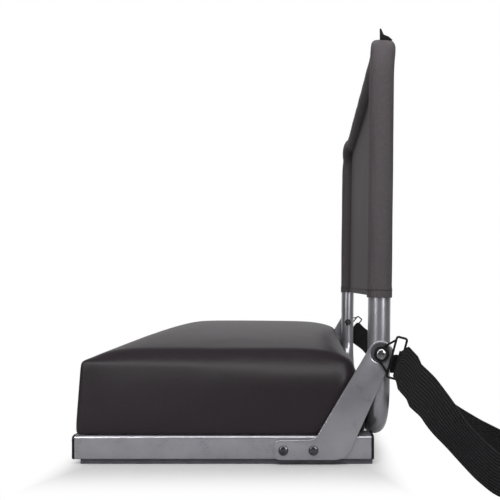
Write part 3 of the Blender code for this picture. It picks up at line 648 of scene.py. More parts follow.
class Bench:
    """Blender's modelling operators, used on one piece at a time."""

    @staticmethod
    def clear() -> None:
        """Leave edit mode and deselect everything."""
        if bpy.context.mode != "OBJECT":
            bpy.ops.object.mode_set(mode="OBJECT")
        bpy.ops.object.select_all(action="DESELECT")

    @staticmethod
    def take(piece: Piece) -> None:
        """Make a piece the only selected object and the active one.

        Args:
            piece: The piece.
        """
        Bench.clear()
        piece.select_set(True)
        bpy.context.view_layer.objects.active = piece

    @staticmethod
    def added(name: str) -> Piece:
        """Name the object that an operator has just added, and put its place into its mesh.

        Args:
            name: The piece's name.

        Returns:
            The piece.
        """
        piece = bpy.context.object
        piece.name = name
        piece.data.name = name
        Bench.take(piece)
        bpy.ops.object.transform_apply(location=True, rotation=True, scale=True)
        return piece

    @staticmethod
    def placed(name: str, data: bpy.types.ID) -> Piece:
        """Put a new object into the scene.

        Args:
            name: The object's name.
            data: Its mesh, curve or lamp.

        Returns:
            The object.
        """
        piece = bpy.data.objects.new(name, data)
        bpy.context.scene.collection.objects.link(piece)
        return piece

    @staticmethod
    def copied(piece: Piece, name: str) -> Piece:
        """A copy of a piece, with its own mesh.

        Args:
            piece: The piece.
            name: The copy's name.

        Returns:
            The copy.
        """
        twin = Bench.placed(name, piece.data.copy())
        twin.data.name = name
        return twin

    @staticmethod
    def block(name: str, low: Point, high: Point) -> Piece:
        """A box between two corners.

        Args:
            name: The piece's name.
            low: The lowest corner.
            high: The highest corner.

        Returns:
            The piece.
        """
        Bench.clear()
        low, high = Vector(low), Vector(high)
        bpy.ops.mesh.primitive_cube_add(size=1, location=(low + high) / 2)
        bpy.context.object.scale = high - low
        return Bench.added(name)

    @staticmethod
    def rod(name: str, centre: Point, radius: float, length: float, turn: Point = (0, 0, 0),
            sides: int = 48) -> Piece:
        """A round or many-sided bar.

        Args:
            name: The piece's name.
            centre: Its middle.
            radius: Its radius to the corners.
            length: Its length.
            turn: Euler angles that turn it from the Z axis.
            sides: How many sides it has.

        Returns:
            The piece.
        """
        Bench.clear()
        bpy.ops.mesh.primitive_cylinder_add(vertices=sides, radius=radius, depth=length,
                                            location=centre, rotation=turn)
        return Bench.added(name)

    @staticmethod
    @contextmanager
    def editing(piece: Piece, element: str = "FACE") -> Iterator[None]:
        """Edit mode on a piece, with nothing selected.

        Args:
            piece: The piece.
            element: VERT, EDGE or FACE.

        Yields:
            Nothing.
        """
        Bench.take(piece)
        bpy.ops.object.mode_set(mode="EDIT")
        bpy.ops.mesh.select_mode(type=element)
        bpy.ops.mesh.select_all(action="DESELECT")
        yield
        bpy.ops.object.mode_set(mode="OBJECT")

    @staticmethod
    def pick(piece: Piece, element: str, test: Callable[[Any], bool]) -> None:
        """In edit mode, select the elements that pass a test on their place or normal.

        Args:
            piece: The piece in edit mode.
            element: VERT, EDGE or FACE.
            test: Whether an element is selected.
        """
        body = bmesh.from_edit_mesh(piece.data)
        body.normal_update()
        for item in {"VERT": body.verts, "EDGE": body.edges, "FACE": body.faces}[element]:
            if test(item):
                item.select_set(True)
        body.select_flush_mode()
        bmesh.update_edit_mesh(piece.data)

    @staticmethod
    def runs_along(edge: bmesh.types.BMEdge, axis: int) -> bool:
        """Whether an edge of a block runs along an axis, 0 for X to 2 for Z."""
        return abs(edge.verts[0].co[axis] - edge.verts[1].co[axis]) > SHORTEST_EDGE

    @staticmethod
    def lies_at(edge: bmesh.types.BMEdge, axis: int, level: float) -> bool:
        """Whether an edge lies at a level of an axis, 0 for X to 2 for Z."""
        return all(abs(corner.co[axis] - level) < SAME_PLACE for corner in edge.verts)

    @staticmethod
    def bevel(piece: Piece, test: Callable[[Any], bool], width: float, steps: int) -> None:
        """Round the edges that pass a test.

        Args:
            piece: The piece.
            test: Whether an edge is rounded.
            width: The width of the rounding.
            steps: Its number of faces.
        """
        with Bench.editing(piece, "EDGE"):
            Bench.pick(piece, "EDGE", test)
            bpy.ops.mesh.bevel(offset=width, segments=steps, affect="EDGES", clamp_overlap=True)

    @staticmethod
    def weld(piece: Piece) -> None:
        """Merge doubled points and turn the faces outwards.

        Args:
            piece: The piece.
        """
        with Bench.editing(piece):
            bpy.ops.mesh.select_all(action="SELECT")
            bpy.ops.mesh.remove_doubles(threshold=SAME_PLACE)
            bpy.ops.mesh.normals_make_consistent(inside=False)

    @staticmethod
    def apply(piece: Piece, kind: str, **settings: Any) -> None:
        """Add a modifier and apply it.

        Args:
            piece: The piece.
            kind: The modifier's type.
            settings: Its settings.
        """
        Bench.take(piece)
        step = piece.modifiers.new(kind.lower(), kind)
        for key, value in settings.items():
            setattr(step, key, value)
        bpy.ops.object.modifier_apply(modifier=step.name)

    @staticmethod
    def combine(piece: Piece, tool: Piece, operation: str = "DIFFERENCE") -> None:
        """Cut a tool out of a piece, or join it on, and remove the tool.

        Args:
            piece: The piece.
            tool: A closed solid.
            operation: DIFFERENCE, UNION or INTERSECT.
        """
        Bench.apply(piece, "BOOLEAN", object=tool, operation=operation, solver="EXACT")
        bpy.data.objects.remove(tool, do_unlink=True)

    @staticmethod
    def smooth(piece: Piece, degrees: float = 35.0) -> Piece:
        """Shade a piece smooth, but for edges sharper than an angle.

        Args:
            piece: The piece.
            degrees: The angle.

        Returns:
            The piece.
        """
        Bench.take(piece)
        bpy.ops.object.shade_smooth_by_angle(angle=math.radians(degrees))
        return piece

    @staticmethod
    def sweep(name: str, points: Sequence[Point], radius: float, sides: int,
              closed: bool = False) -> Piece:
        """A round bar or tube along points.

        Args:
            name: The piece's name.
            points: Its centre line.
            radius: Its radius.
            sides: How many sides its section has.
            closed: Whether it runs back into its start, or else has capped ends.

        Returns:
            The piece.
        """
        curve = bpy.data.curves.new(name, "CURVE")
        curve.dimensions = "3D"
        curve.bevel_depth = radius
        curve.bevel_resolution = (sides - 4) // 2
        curve.use_fill_caps = not closed
        spline = curve.splines.new("POLY")
        spline.points.add(len(points) - 1)
        for knot, point in zip(spline.points, points):
            knot.co = (*point, 1)
        spline.use_cyclic_u = closed
        Bench.take(Bench.placed(name, curve))
        bpy.ops.object.convert(target="MESH")
        piece = bpy.context.object
        Bench.weld(piece)
        return piece

    @staticmethod
    def spun(name: str, profile: Sequence[Pair], place: Matrix, steps: int = 48) -> Piece:
        """A turned piece.

        Args:
            name: The piece's name.
            profile: Radius and height along its outline, from axis to axis.
            place: Where its axis stands.
            steps: How many sides it has.

        Returns:
            The piece.
        """
        mesh = bpy.data.meshes.new(name)
        edges = [(index, index + 1) for index in range(len(profile) - 1)]
        mesh.from_pydata([(radius, 0.0, height) for radius, height in profile], edges, [])
        piece = Bench.placed(name, mesh)
        with Bench.editing(piece, "VERT"):
            bpy.ops.mesh.select_all(action="SELECT")
            bpy.ops.mesh.spin(steps=steps, angle=math.tau, center=(0, 0, 0), axis=(0, 0, 1))
        Bench.weld(piece)
        mesh.transform(place)
        return piece

    @staticmethod
    def slab(name: str, outline: Sequence[Pair], low: float, high: float) -> Piece:
        """A flat piece in the YZ plane, drawn out along X.

        Args:
            name: The piece's name.
            outline: Y and Z round its edge.
            low: Its lowest X.
            high: Its highest X.

        Returns:
            The piece.
        """
        Bench.clear()
        bpy.ops.mesh.primitive_circle_add(vertices=len(outline), radius=1, fill_type="NGON")
        piece = Bench.added(name)
        for corner, (along, up) in zip(piece.data.vertices, outline):
            corner.co = (low, along, up)
        with Bench.editing(piece):
            bpy.ops.mesh.select_all(action="SELECT")
            bpy.ops.mesh.extrude_region_move(TRANSFORM_OT_translate={"value": (high - low, 0, 0)})
        Bench.weld(piece)
        return piece

    @staticmethod
    def sheet(name: str, columns: int, rows: int, shape: Callable[[float, float], Point]) -> Piece:
        """A grid laid over a shape.

        Args:
            name: The piece's name.
            columns: Faces across.
            rows: Faces along.
            shape: The place of a point from its shares across and along, from 0 to 1.

        Returns:
            The piece.
        """
        Bench.clear()
        bpy.ops.mesh.primitive_grid_add(x_subdivisions=columns, y_subdivisions=rows, size=1)
        piece = Bench.added(name)
        for corner in piece.data.vertices:
            corner.co = shape(corner.co.x + 0.5, corner.co.y + 0.5)
        return piece

    @staticmethod
    def mirrored(piece: Piece, name: str) -> Piece:
        """A copy of a piece, reflected in the plane X = 0.

        Args:
            piece: The piece.
            name: The copy's name.

        Returns:
            The copy.
        """
        twin = Bench.copied(piece, name)
        twin.data.transform(Matrix.Scale(-1, 4, (1, 0, 0)))
        twin.data.flip_normals()
        return twin

    @staticmethod
    def joined(pieces: Sequence[Piece], name: str) -> Piece:
        """One object made of several.

        Args:
            pieces: The objects, which the first takes in.
            name: The whole's name.

        Returns:
            The whole.
        """
        Bench.take(pieces[0])
        for piece in pieces:
            piece.select_set(True)
        bpy.ops.object.join()
        pieces[0].name = name
        pieces[0].data.name = name
        return pieces[0]


# Outlines


def arc(centre: Point, radius: float, start: float, end: float, steps: int) -> list[Pair]:
    """Points along an arc.

    Args:
        centre: Its centre.
        radius: Its radius.
        start: The angle it starts at.
        end: The angle it ends at.
        steps: How many steps it takes.

    Returns:
        The points, both ends included.
    """
    angles = [start + (end - start) * step / steps for step in range(steps + 1)]
    return [(centre[0] + radius * math.cos(a), centre[1] + radius * math.sin(a)) for a in angles]


def rounded(corners: Sequence[tuple[float, float, float]], steps: int) -> list[Pair]:
    """A closed outline through corners that are turned by arcs.

    Args:
        corners: Two coordinates and a radius for each corner.
        steps: How many steps each arc takes.

    Returns:
        The outline.
    """
    outline: list[Pair] = []
    for index, (u, v, radius) in enumerate(corners):
        here = Vector((u, v))
        if radius == 0:
            outline.append((u, v))
            continue
        before = (Vector(corners[index - 1][:2]) - here).normalized()
        after = (Vector(corners[(index + 1) % len(corners)][:2]) - here).normalized()
        half = before.angle(after) / 2
        centre = here + (before + after).normalized() * (radius / math.sin(half))
        first = here + before * (radius / math.tan(half)) - centre
        last = here + after * (radius / math.tan(half)) - centre
        start = math.atan2(first.y, first.x)
        turn = (math.atan2(last.y, last.x) - start + math.pi) % math.tau - math.pi
        outline += arc(centre, radius, start, start + turn, steps)
    return outline


def tangent_angle(point: Point, centre: Point, radius: float, side: int) -> float:
    """Where a line from a point touches a circle.

    Args:
        point: The point.
        centre: The circle's centre.
        radius: The circle's radius.
        side: 1 or -1, for which of the two lines.

    Returns:
        The angle on the circle.
    """
    away = Vector(point) - Vector(centre)
    return math.atan2(away.y, away.x) + side * math.acos(radius / away.length)


def across_at(along: float, up: float) -> Matrix:
    """A frame that stands along X, through a point of the YZ plane."""
    return Matrix.Translation((0, along, up)) @ ALONG_X


def ease(share: float) -> float:
    """A share from 0 to 1 that starts and ends gently."""
    return share ** 2 * (3 - 2 * share)


def smooth_run(route: Sequence[Vector], count: int) -> list[Vector]:
    """Points at even steps along a smooth curve through a route.

    Args:
        route: The route's own points.
        count: How many points to return.

    Returns:
        The points.
    """
    steps = 12
    fine: list[Vector] = []
    for index in range(len(route) - 1):
        before, here = route[max(index - 1, 0)], route[index]
        there, after = route[index + 1], route[min(index + 2, len(route) - 1)]
        for step in range(steps):
            t = step / steps
            place = before * (2 * t ** 2 - t - t ** 3) + here * (2 - 5 * t ** 2 + 3 * t ** 3)
            place += there * (t + 4 * t ** 2 - 3 * t ** 3) + after * (t ** 3 - t ** 2)
            fine.append(place / 2)
    fine.append(route[-1])
    return even_run(fine, count)


def even_run(line: Sequence[Vector], count: int) -> list[Vector]:
    """A line's points again, at even steps.

    Args:
        line: The line.
        count: How many points to return.

    Returns:
        The points, both ends included.
    """
    along = [0.0]
    for first, second in zip(line, line[1:]):
        along.append(along[-1] + (second - first).length)
    points, spot = [], 0
    for step in range(count):
        goal = along[-1] * step / (count - 1)
        while spot < len(line) - 2 and along[spot + 1] < goal:
            spot += 1
        share = (goal - along[spot]) / (along[spot + 1] - along[spot])
        points.append(line[spot].lerp(line[spot + 1], share))
    return points


# Sub-assemblies


class Assembly:
    """A group of pieces that ride on the chair's bodies."""

    def fit(self, piece: Piece, body: Body, finish: Finish, *nodes: str) -> Piece:
        """Dress a piece and hang it on its body.

        Args:
            piece: The piece, in place.
            body: The body that carries it.
            finish: Its finish.
            nodes: The CAD nodes that it stands for.

        Returns:
            The piece.
        """
        self.dress(piece, finish)
        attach(piece, body.value)
        if nodes:
            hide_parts(*nodes)
        log.info("%s rides on %s, %d faces", piece.name, body.value, len(piece.data.polygons))
        return piece

    def dress(self, piece: Piece, finish: Finish) -> None:
        """Give a piece one finish.

        Args:
            piece: The piece.
            finish: Its finish.
        """
        piece.data.materials.clear()
        piece.data.materials.append(finish.material())

    def fit_both(self, right: Piece, stem: str, finish: Finish, node: str) -> None:
        """Fit a right-hand piece and its left-hand twin to the base, each for the node of its own side.

        Args:
            right: The right-hand piece, named for its stem.
            stem: The pieces' name without the side.
            finish: Their finish.
            node: The nodes' name without the side.
        """
        left = Bench.mirrored(right, f"{stem}_left")
        right.name = f"{stem}_right"
        for piece, side in ((right, Side.RIGHT), (left, Side.LEFT)):
            self.fit(piece, Body.BASE, finish, f"{node}_{side.word}")


@dataclass
class BaseFrame(Assembly):
    """The two rails with their caps and foot strips, and the hidden board and screws."""

    wall: float = 0.0015
    corner: float = 0.0025
    access_radius: float = 0.0058
    cap_gap: float = 0.0001
    cap_round: float = 0.0006
    cap_rim: float = 0.0026
    cap_recess: float = 0.0005
    cap_face: float = 1e-4
    foot_round: float = 0.0012

    def build(self, nodes: dict[str, Piece]) -> None:
        """Make the rails, caps and strips, and dress the CAD nodes that stay.

        Args:
            nodes: The CAD nodes by name.
        """
        self.fit_both(self.rail(), "rail_tube", SILVER, "base_rail")
        for end in ("front", "rear"):
            self.fit_both(self.cap(end), f"end_cap_{end}", PLASTIC, f"rail_cap_{end}")
        self.fit_both(self.strip(), "sole_strip", RUBBER, "foot_strip")
        nodes["seat_board"].material_slots[0].material = BOARD_WOOD.material()
        for side in Side:
            for end in ("front", "rear"):
                nodes[f"seat_screw_{end}_{side.word}"].material_slots[0].material = ZINC.material()

    def rail(self) -> Piece:
        """The right-hand rail: rectangular tube with rounded corners and screwdriver holes below.

        Returns:
            The rail.
        """
        low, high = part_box("base_rail_right")
        rail = Bench.block("rail_tube", low, high)
        Bench.bevel(rail, lambda edge: Bench.runs_along(edge, 1), self.corner, 6)
        wall = Vector((self.wall, -self.wall, self.wall))
        Bench.combine(rail, Bench.block("rail_bore", low + wall, high - wall))
        for end in ("front", "rear"):
            first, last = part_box(f"seat_screw_{end}_right")
            middle = (first + last) / 2
            place = (middle.x, middle.y, low.z)
            Bench.combine(rail, Bench.rod("access_hole", place, self.access_radius, 4 * self.wall))
        return Bench.smooth(rail)

    def cap(self, end: str) -> Piece:
        """The right-hand rail's cap at one end.

        Args:
            end: front or rear.

        Returns:
            The cap's flange, with a moulded recess in its face.
        """
        low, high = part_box(f"rail_cap_{end}_right")
        rail_low, rail_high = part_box("base_rail_right")
        if end == "front":
            way, outer = -1, low.y
            high.y = rail_low.y - self.cap_gap
        else:
            way, outer = 1, high.y
            low.y = rail_high.y + self.cap_gap
        cap = Bench.block("end_cap", low, high)
        Bench.bevel(cap, lambda edge: Bench.runs_along(edge, 1), self.corner, 6)
        Bench.bevel(cap, lambda edge: Bench.lies_at(edge, 1, outer), self.cap_round, 3)
        with Bench.editing(cap):
            Bench.pick(cap, "FACE", lambda face: face.normal.y * way > 0.99
                       and face.calc_area() > self.cap_face)
            bpy.ops.mesh.inset(thickness=self.cap_rim)
            bpy.ops.mesh.inset(thickness=self.cap_recess, depth=-self.cap_recess)
        return Bench.smooth(cap)

    def strip(self) -> Piece:
        """The right-hand foot strip, with its long edges rounded.

        Returns:
            The strip.
        """
        low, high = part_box("foot_strip_right")
        strip = Bench.block("sole_strip", low, high)
        Bench.bevel(strip, lambda edge: Bench.runs_along(edge, 1), self.foot_round, 4)
        return Bench.smooth(strip)


@dataclass
class SidePlates(Assembly):
    """The stamped plates from the rails up to the pivots."""

    pivot: Vector
    thickness: float = 0.0025
    edge_round: float = 0.0006
    head_radius: float = 0.012
    foot_reach: float = 0.102
    foot_height: float = 0.0191
    foot_round: float = 0.005
    crotch_reach: float = 0.0633
    crotch_round: float = 0.012
    heel_reach: float = 0.0329
    heel_round: float = 0.018
    dish_radius: float = 0.0100
    dish_slope: float = 0.0022
    dish_depth: float = 0.0012
    dish_edge: float = 0.0002
    dish_foot: float = 0.0006
    dish_lip: float = 0.0007
    dish_flare: float = 0.0012
    bolt_hole: float = 0.0033

    def build(self) -> None:
        """Make both plates."""
        self.fit_both(self.plate(), "pivot_plate", SILVER, "side_plate")

    def outline(self) -> list[Pair]:
        """The plate's edge in Y and Z: a foot along the rail and an arm up to the pivot.

        Returns:
            The outline.
        """
        low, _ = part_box("side_plate_right")
        head = (self.pivot.y, self.pivot.z)
        bottom, top = low.z, low.z + self.foot_height
        tip = self.pivot.y - self.foot_reach
        crotch = (self.pivot.y - self.crotch_reach, top)
        heel = (self.pivot.y - self.heel_reach, bottom)
        rear = tangent_angle(heel, head, self.head_radius, 1)
        front = tangent_angle(crotch, head, self.head_radius, -1)
        corners = [(tip, bottom, self.foot_round), (*heel, self.heel_round)]
        corners += [(u, v, 0.0) for u, v in arc(head, self.head_radius, rear - math.tau, front, 32)]
        corners += [(*crotch, self.crotch_round), (tip, top, self.foot_round)]
        return rounded(corners, 12)

    def plate(self) -> Piece:
        """The right-hand plate, dished inwards round the bolt.

        Returns:
            The plate.
        """
        _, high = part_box("side_plate_right")
        outer, inner = high.x, high.x - self.thickness
        plate = Bench.slab("pivot_plate", self.outline(), inner, outer)
        Bench.bevel(plate, lambda edge: sum(abs(face.normal.x) > 0.9 for face in edge.link_faces) == 1,
                    self.edge_round, 3)
        axis = across_at(self.pivot.y, self.pivot.z)
        floor, mouth, edge = self.dish_radius - self.dish_slope, self.dish_radius, self.dish_edge
        deep, root = inner - self.dish_depth, inner + self.thickness / 3
        boss = [(0, root), (mouth + edge, root), (mouth, inner), (floor + self.dish_foot, deep + edge),
                (floor, deep), (0, deep)]
        Bench.combine(plate, Bench.spun("dish_boss", boss, axis, 72), "UNION")
        deep, over = outer - self.dish_depth, outer + self.thickness / 3
        hollow = [(0, over), (mouth + self.dish_flare, over), (mouth + self.dish_lip, outer),
                  (mouth - edge / 2, outer - edge), (floor + self.dish_foot - edge / 2, deep + edge),
                  (floor - edge, deep), (0, deep)]
        Bench.combine(plate, Bench.spun("dish_hollow", hollow, axis, 72))
        hole = Bench.rod("bolt_hole", (inner, self.pivot.y, self.pivot.z), self.bolt_hole,
                         6 * self.thickness, TURN_TO_X)
        Bench.combine(plate, hole)
        return Bench.smooth(plate, 30)


@dataclass
class Fasteners(Assembly):
    """Rivets in the side plates, and the pivot bolts with their washers and nuts."""

    pivot: Vector
    rivet_radius: float = 0.0047
    rivet_height: float = 0.0021
    head_radius: float = 0.0052
    head_height: float = 0.0024
    rim_share: float = 0.18
    rim_undercut: float = 0.0001
    shank_radius: float = 0.0030
    shank_chamfer: float = 0.0006
    recess_length: float = 0.0066
    recess_width: float = 0.0016
    recess_depth: float = 0.0020
    recess_taper: Pair = (0.45, 0.7)
    recess_turn: float = math.radians(24)
    washer_radius: float = 0.0073
    washer_edge: float = 0.0002
    washer_gap: float = 0.0003
    nut_flats: float = 0.010
    nut_chamfer: float = 0.0007
    nut_corner: float = 0.0001
    nut_gap: float = 0.0002
    nut_bore: float = 0.03
    collar_radius: float = 0.0043
    collar_height: float = 0.0013
    collar_chamfer: float = 0.0005

    def build(self) -> None:
        """Make the fasteners of both sides."""
        for end in ("front", "rear"):
            self.fit_both(self.rivet(end), f"dome_rivet_{end}", ZINC, f"rivet_{end}")
        self.fit_both(self.bolt(), "cross_bolt", BRIGHT_ZINC, "pivot_bolt")
        self.fit_both(self.washer(), "dark_washer", PLASTIC, "pivot_washer")
        self.fit_both(self.nut(), "lock_nut", ZINC, "pivot_nut")

    def axis(self) -> Matrix:
        """The pivots' axis."""
        return across_at(self.pivot.y, self.pivot.z)

    def dome(self, radius: float, seat: float, height: float) -> list[Pair]:
        """The profile of a domed head.

        Args:
            radius: Its radius.
            seat: The X that it sits at.
            height: How far it rises.

        Returns:
            Radius and X from its top down to its rim, which has a short upright edge.
        """
        edge = height * self.rim_share
        quarter = [math.radians(90) * step / 10 for step in range(11)]
        top = [(radius * math.sin(a), seat + edge + (height - edge) * math.cos(a)) for a in quarter]
        return top + [(radius - self.rim_undercut, seat)]

    def rivet(self, end: str) -> Piece:
        """One rivet's head.

        Args:
            end: front or rear.

        Returns:
            The right-hand rivet.
        """
        low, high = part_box(f"rivet_{end}_right")
        seat = high.x - self.rivet_height
        middle = (low + high) / 2
        profile = self.dome(self.rivet_radius, seat, self.rivet_height) + [(0, seat)]
        return Bench.smooth(Bench.spun("dome_rivet", profile, across_at(middle.y, middle.z)))

    def bolt(self) -> Piece:
        """The right-hand bolt, with a cross recess in its head.

        Returns:
            The bolt.
        """
        low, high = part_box("pivot_bolt_right")
        seat = high.x - self.head_height
        shank, chamfer = self.shank_radius, self.shank_chamfer
        profile = self.dome(self.head_radius, seat, self.head_height)
        profile += [(shank, seat), (shank, low.x + chamfer), (shank - chamfer, low.x), (0, low.x)]
        bolt = Bench.spun("cross_bolt", profile, self.axis())
        corner_of_slot = Vector((self.recess_depth, self.recess_length / 2, self.recess_width / 2))
        for turn in (self.recess_turn, self.recess_turn + math.radians(90)):
            slot = Bench.block("recess", -corner_of_slot, corner_of_slot)
            for corner in slot.data.vertices:
                if corner.co.x < 0:
                    corner.co.y *= self.recess_taper[0]
                    corner.co.z *= self.recess_taper[1]
            slot.data.transform(Matrix.Rotation(turn, 4, "X"))
            slot.data.transform(Matrix.Translation((high.x, self.pivot.y, self.pivot.z)))
            Bench.combine(bolt, slot)
        return Bench.smooth(bolt, 30)

    def washer(self) -> Piece:
        """The right-hand washer, with its edges turned.

        Returns:
            The washer.
        """
        low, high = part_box("pivot_washer_right")
        rim, edge = self.washer_radius, self.washer_edge
        bore = self.shank_radius + self.washer_gap
        profile = [(bore, high.x), (rim - edge, high.x), (rim, high.x - edge), (rim, low.x + edge),
                   (rim - edge, low.x), (bore, low.x), (bore, high.x)]
        return Bench.smooth(Bench.spun("dark_washer", profile, self.axis()))

    def nut(self) -> Piece:
        """The right-hand lock nut: chamfered flats and a round collar at its inner end.

        Returns:
            The nut.
        """
        low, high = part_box("pivot_nut_right")
        shoulder = low.x + self.collar_height
        corner = self.nut_flats / 2 / math.cos(math.radians(30))
        middle = ((shoulder + high.x) / 2, self.pivot.y, self.pivot.z)
        nut = Bench.rod("lock_nut", middle, corner, high.x - shoulder, TURN_TO_X, 6)
        flat, wide, edge = self.nut_flats / 2, corner + self.nut_corner, self.nut_chamfer
        cone = [(0, high.x), (flat, high.x), (wide, high.x - edge), (wide, shoulder + edge),
                (flat, shoulder), (0, shoulder)]
        Bench.combine(nut, Bench.spun("nut_turning", cone, self.axis(), 60), "INTERSECT")
        collar, edge = self.collar_radius, self.collar_chamfer
        ring = [(0, shoulder + edge), (collar, shoulder + edge), (collar, low.x + edge),
                (collar - edge, low.x), (0, low.x)]
        Bench.combine(nut, Bench.spun("nut_collar", ring, self.axis()), "UNION")
        bore = Bench.rod("nut_bore", middle, self.shank_radius + self.nut_gap, self.nut_bore, TURN_TO_X)
        Bench.combine(nut, bore)
        return Bench.smooth(nut, 25)


@dataclass
class BackShape:
    """The lie of the back's tube, which the cover follows."""

    pivot: Vector
    lean: float = math.radians(0.6)
    tube_x: float = 0.200
    tube_radius: float = 0.011
    rise: float = 0.309
    top_bend: float = 0.040
    drop: float = 0.0806
    lower_bend: float = 0.045
    joint_above_bend: float = 0.0025
    top_setback: float = 0.006
    hem_rise: float = 0.0531
    bend_steps: int = 24

    @property
    def joint(self) -> float:
        """How far above the pivot the lower tube is plugged in; below it, so less than 0."""
        return -self.drop + self.lower_bend + self.joint_above_bend

    def stand(self) -> Matrix:
        """The back's own frame: on the pivot, leaning back."""
        return Matrix.Translation(self.pivot) @ Matrix.Rotation(-self.lean, 4, "X")

    def arch(self, end: float, cross: float, bend: float, setback: float, step: float) -> list[Vector]:
        """A U of tube in the back's own frame.

        Args:
            end: The height of its two ends.
            cross: The height of its cross bar.
            bend: The radius of its two bends.
            setback: How far its cross bar lies behind its ends.
            step: The space between points.

        Returns:
            Its centre line, left end first.
        """
        way = 1 if cross > end else -1
        turn = arc((-self.tube_x + bend, cross - way * bend), bend, math.pi,
                   math.pi - way * math.pi / 2, self.bend_steps)
        left = [Vector((-self.tube_x, 0, end))]
        left += [Vector((x, setback * ease(index / self.bend_steps), z)) for index, (x, z) in enumerate(turn)]
        line = left + [Vector((-place.x, place.y, place.z)) for place in reversed(left)]
        length = sum((second - first).length for first, second in zip(line, line[1:]))
        return even_run(line, round(length / step))

    def upper(self, end: float, step: float = 0.006) -> list[Vector]:
        """The upper tube's centre line from an end height, with points a step apart."""
        return self.arch(end, self.rise, self.top_bend, self.top_setback, step)

    def lower(self, end: float, step: float = 0.002) -> list[Vector]:
        """The stop bar's centre line from an end height, with points a step apart."""
        return self.arch(end, -self.drop, self.lower_bend, 0.0, step)


@dataclass
class BackTube(Assembly):
    """The silver tube of the back: an upside-down U and the stop bar plugged into it."""

    shape: BackShape
    bolt_hole: float = 0.0033
    seam: float = 0.00001
    sides: int = 48

    def build(self) -> None:
        """Make both tubes."""
        shape = self.shape
        frame = Bench.sweep("back_tube", shape.upper(shape.joint), shape.tube_radius, self.sides)
        hole = Bench.rod("bolt_hole", (0, 0, 0), self.bolt_hole, 3 * shape.tube_x, TURN_TO_X)
        Bench.combine(frame, hole)
        bar = Bench.sweep("stop_tube", shape.lower(shape.joint - self.seam), shape.tube_radius, self.sides)
        for piece, node in ((frame, "back_frame"), (bar, "stop_bar")):
            piece.data.transform(shape.stand())
            self.fit(Bench.smooth(piece, 40), Body.BACK, SILVER, node)


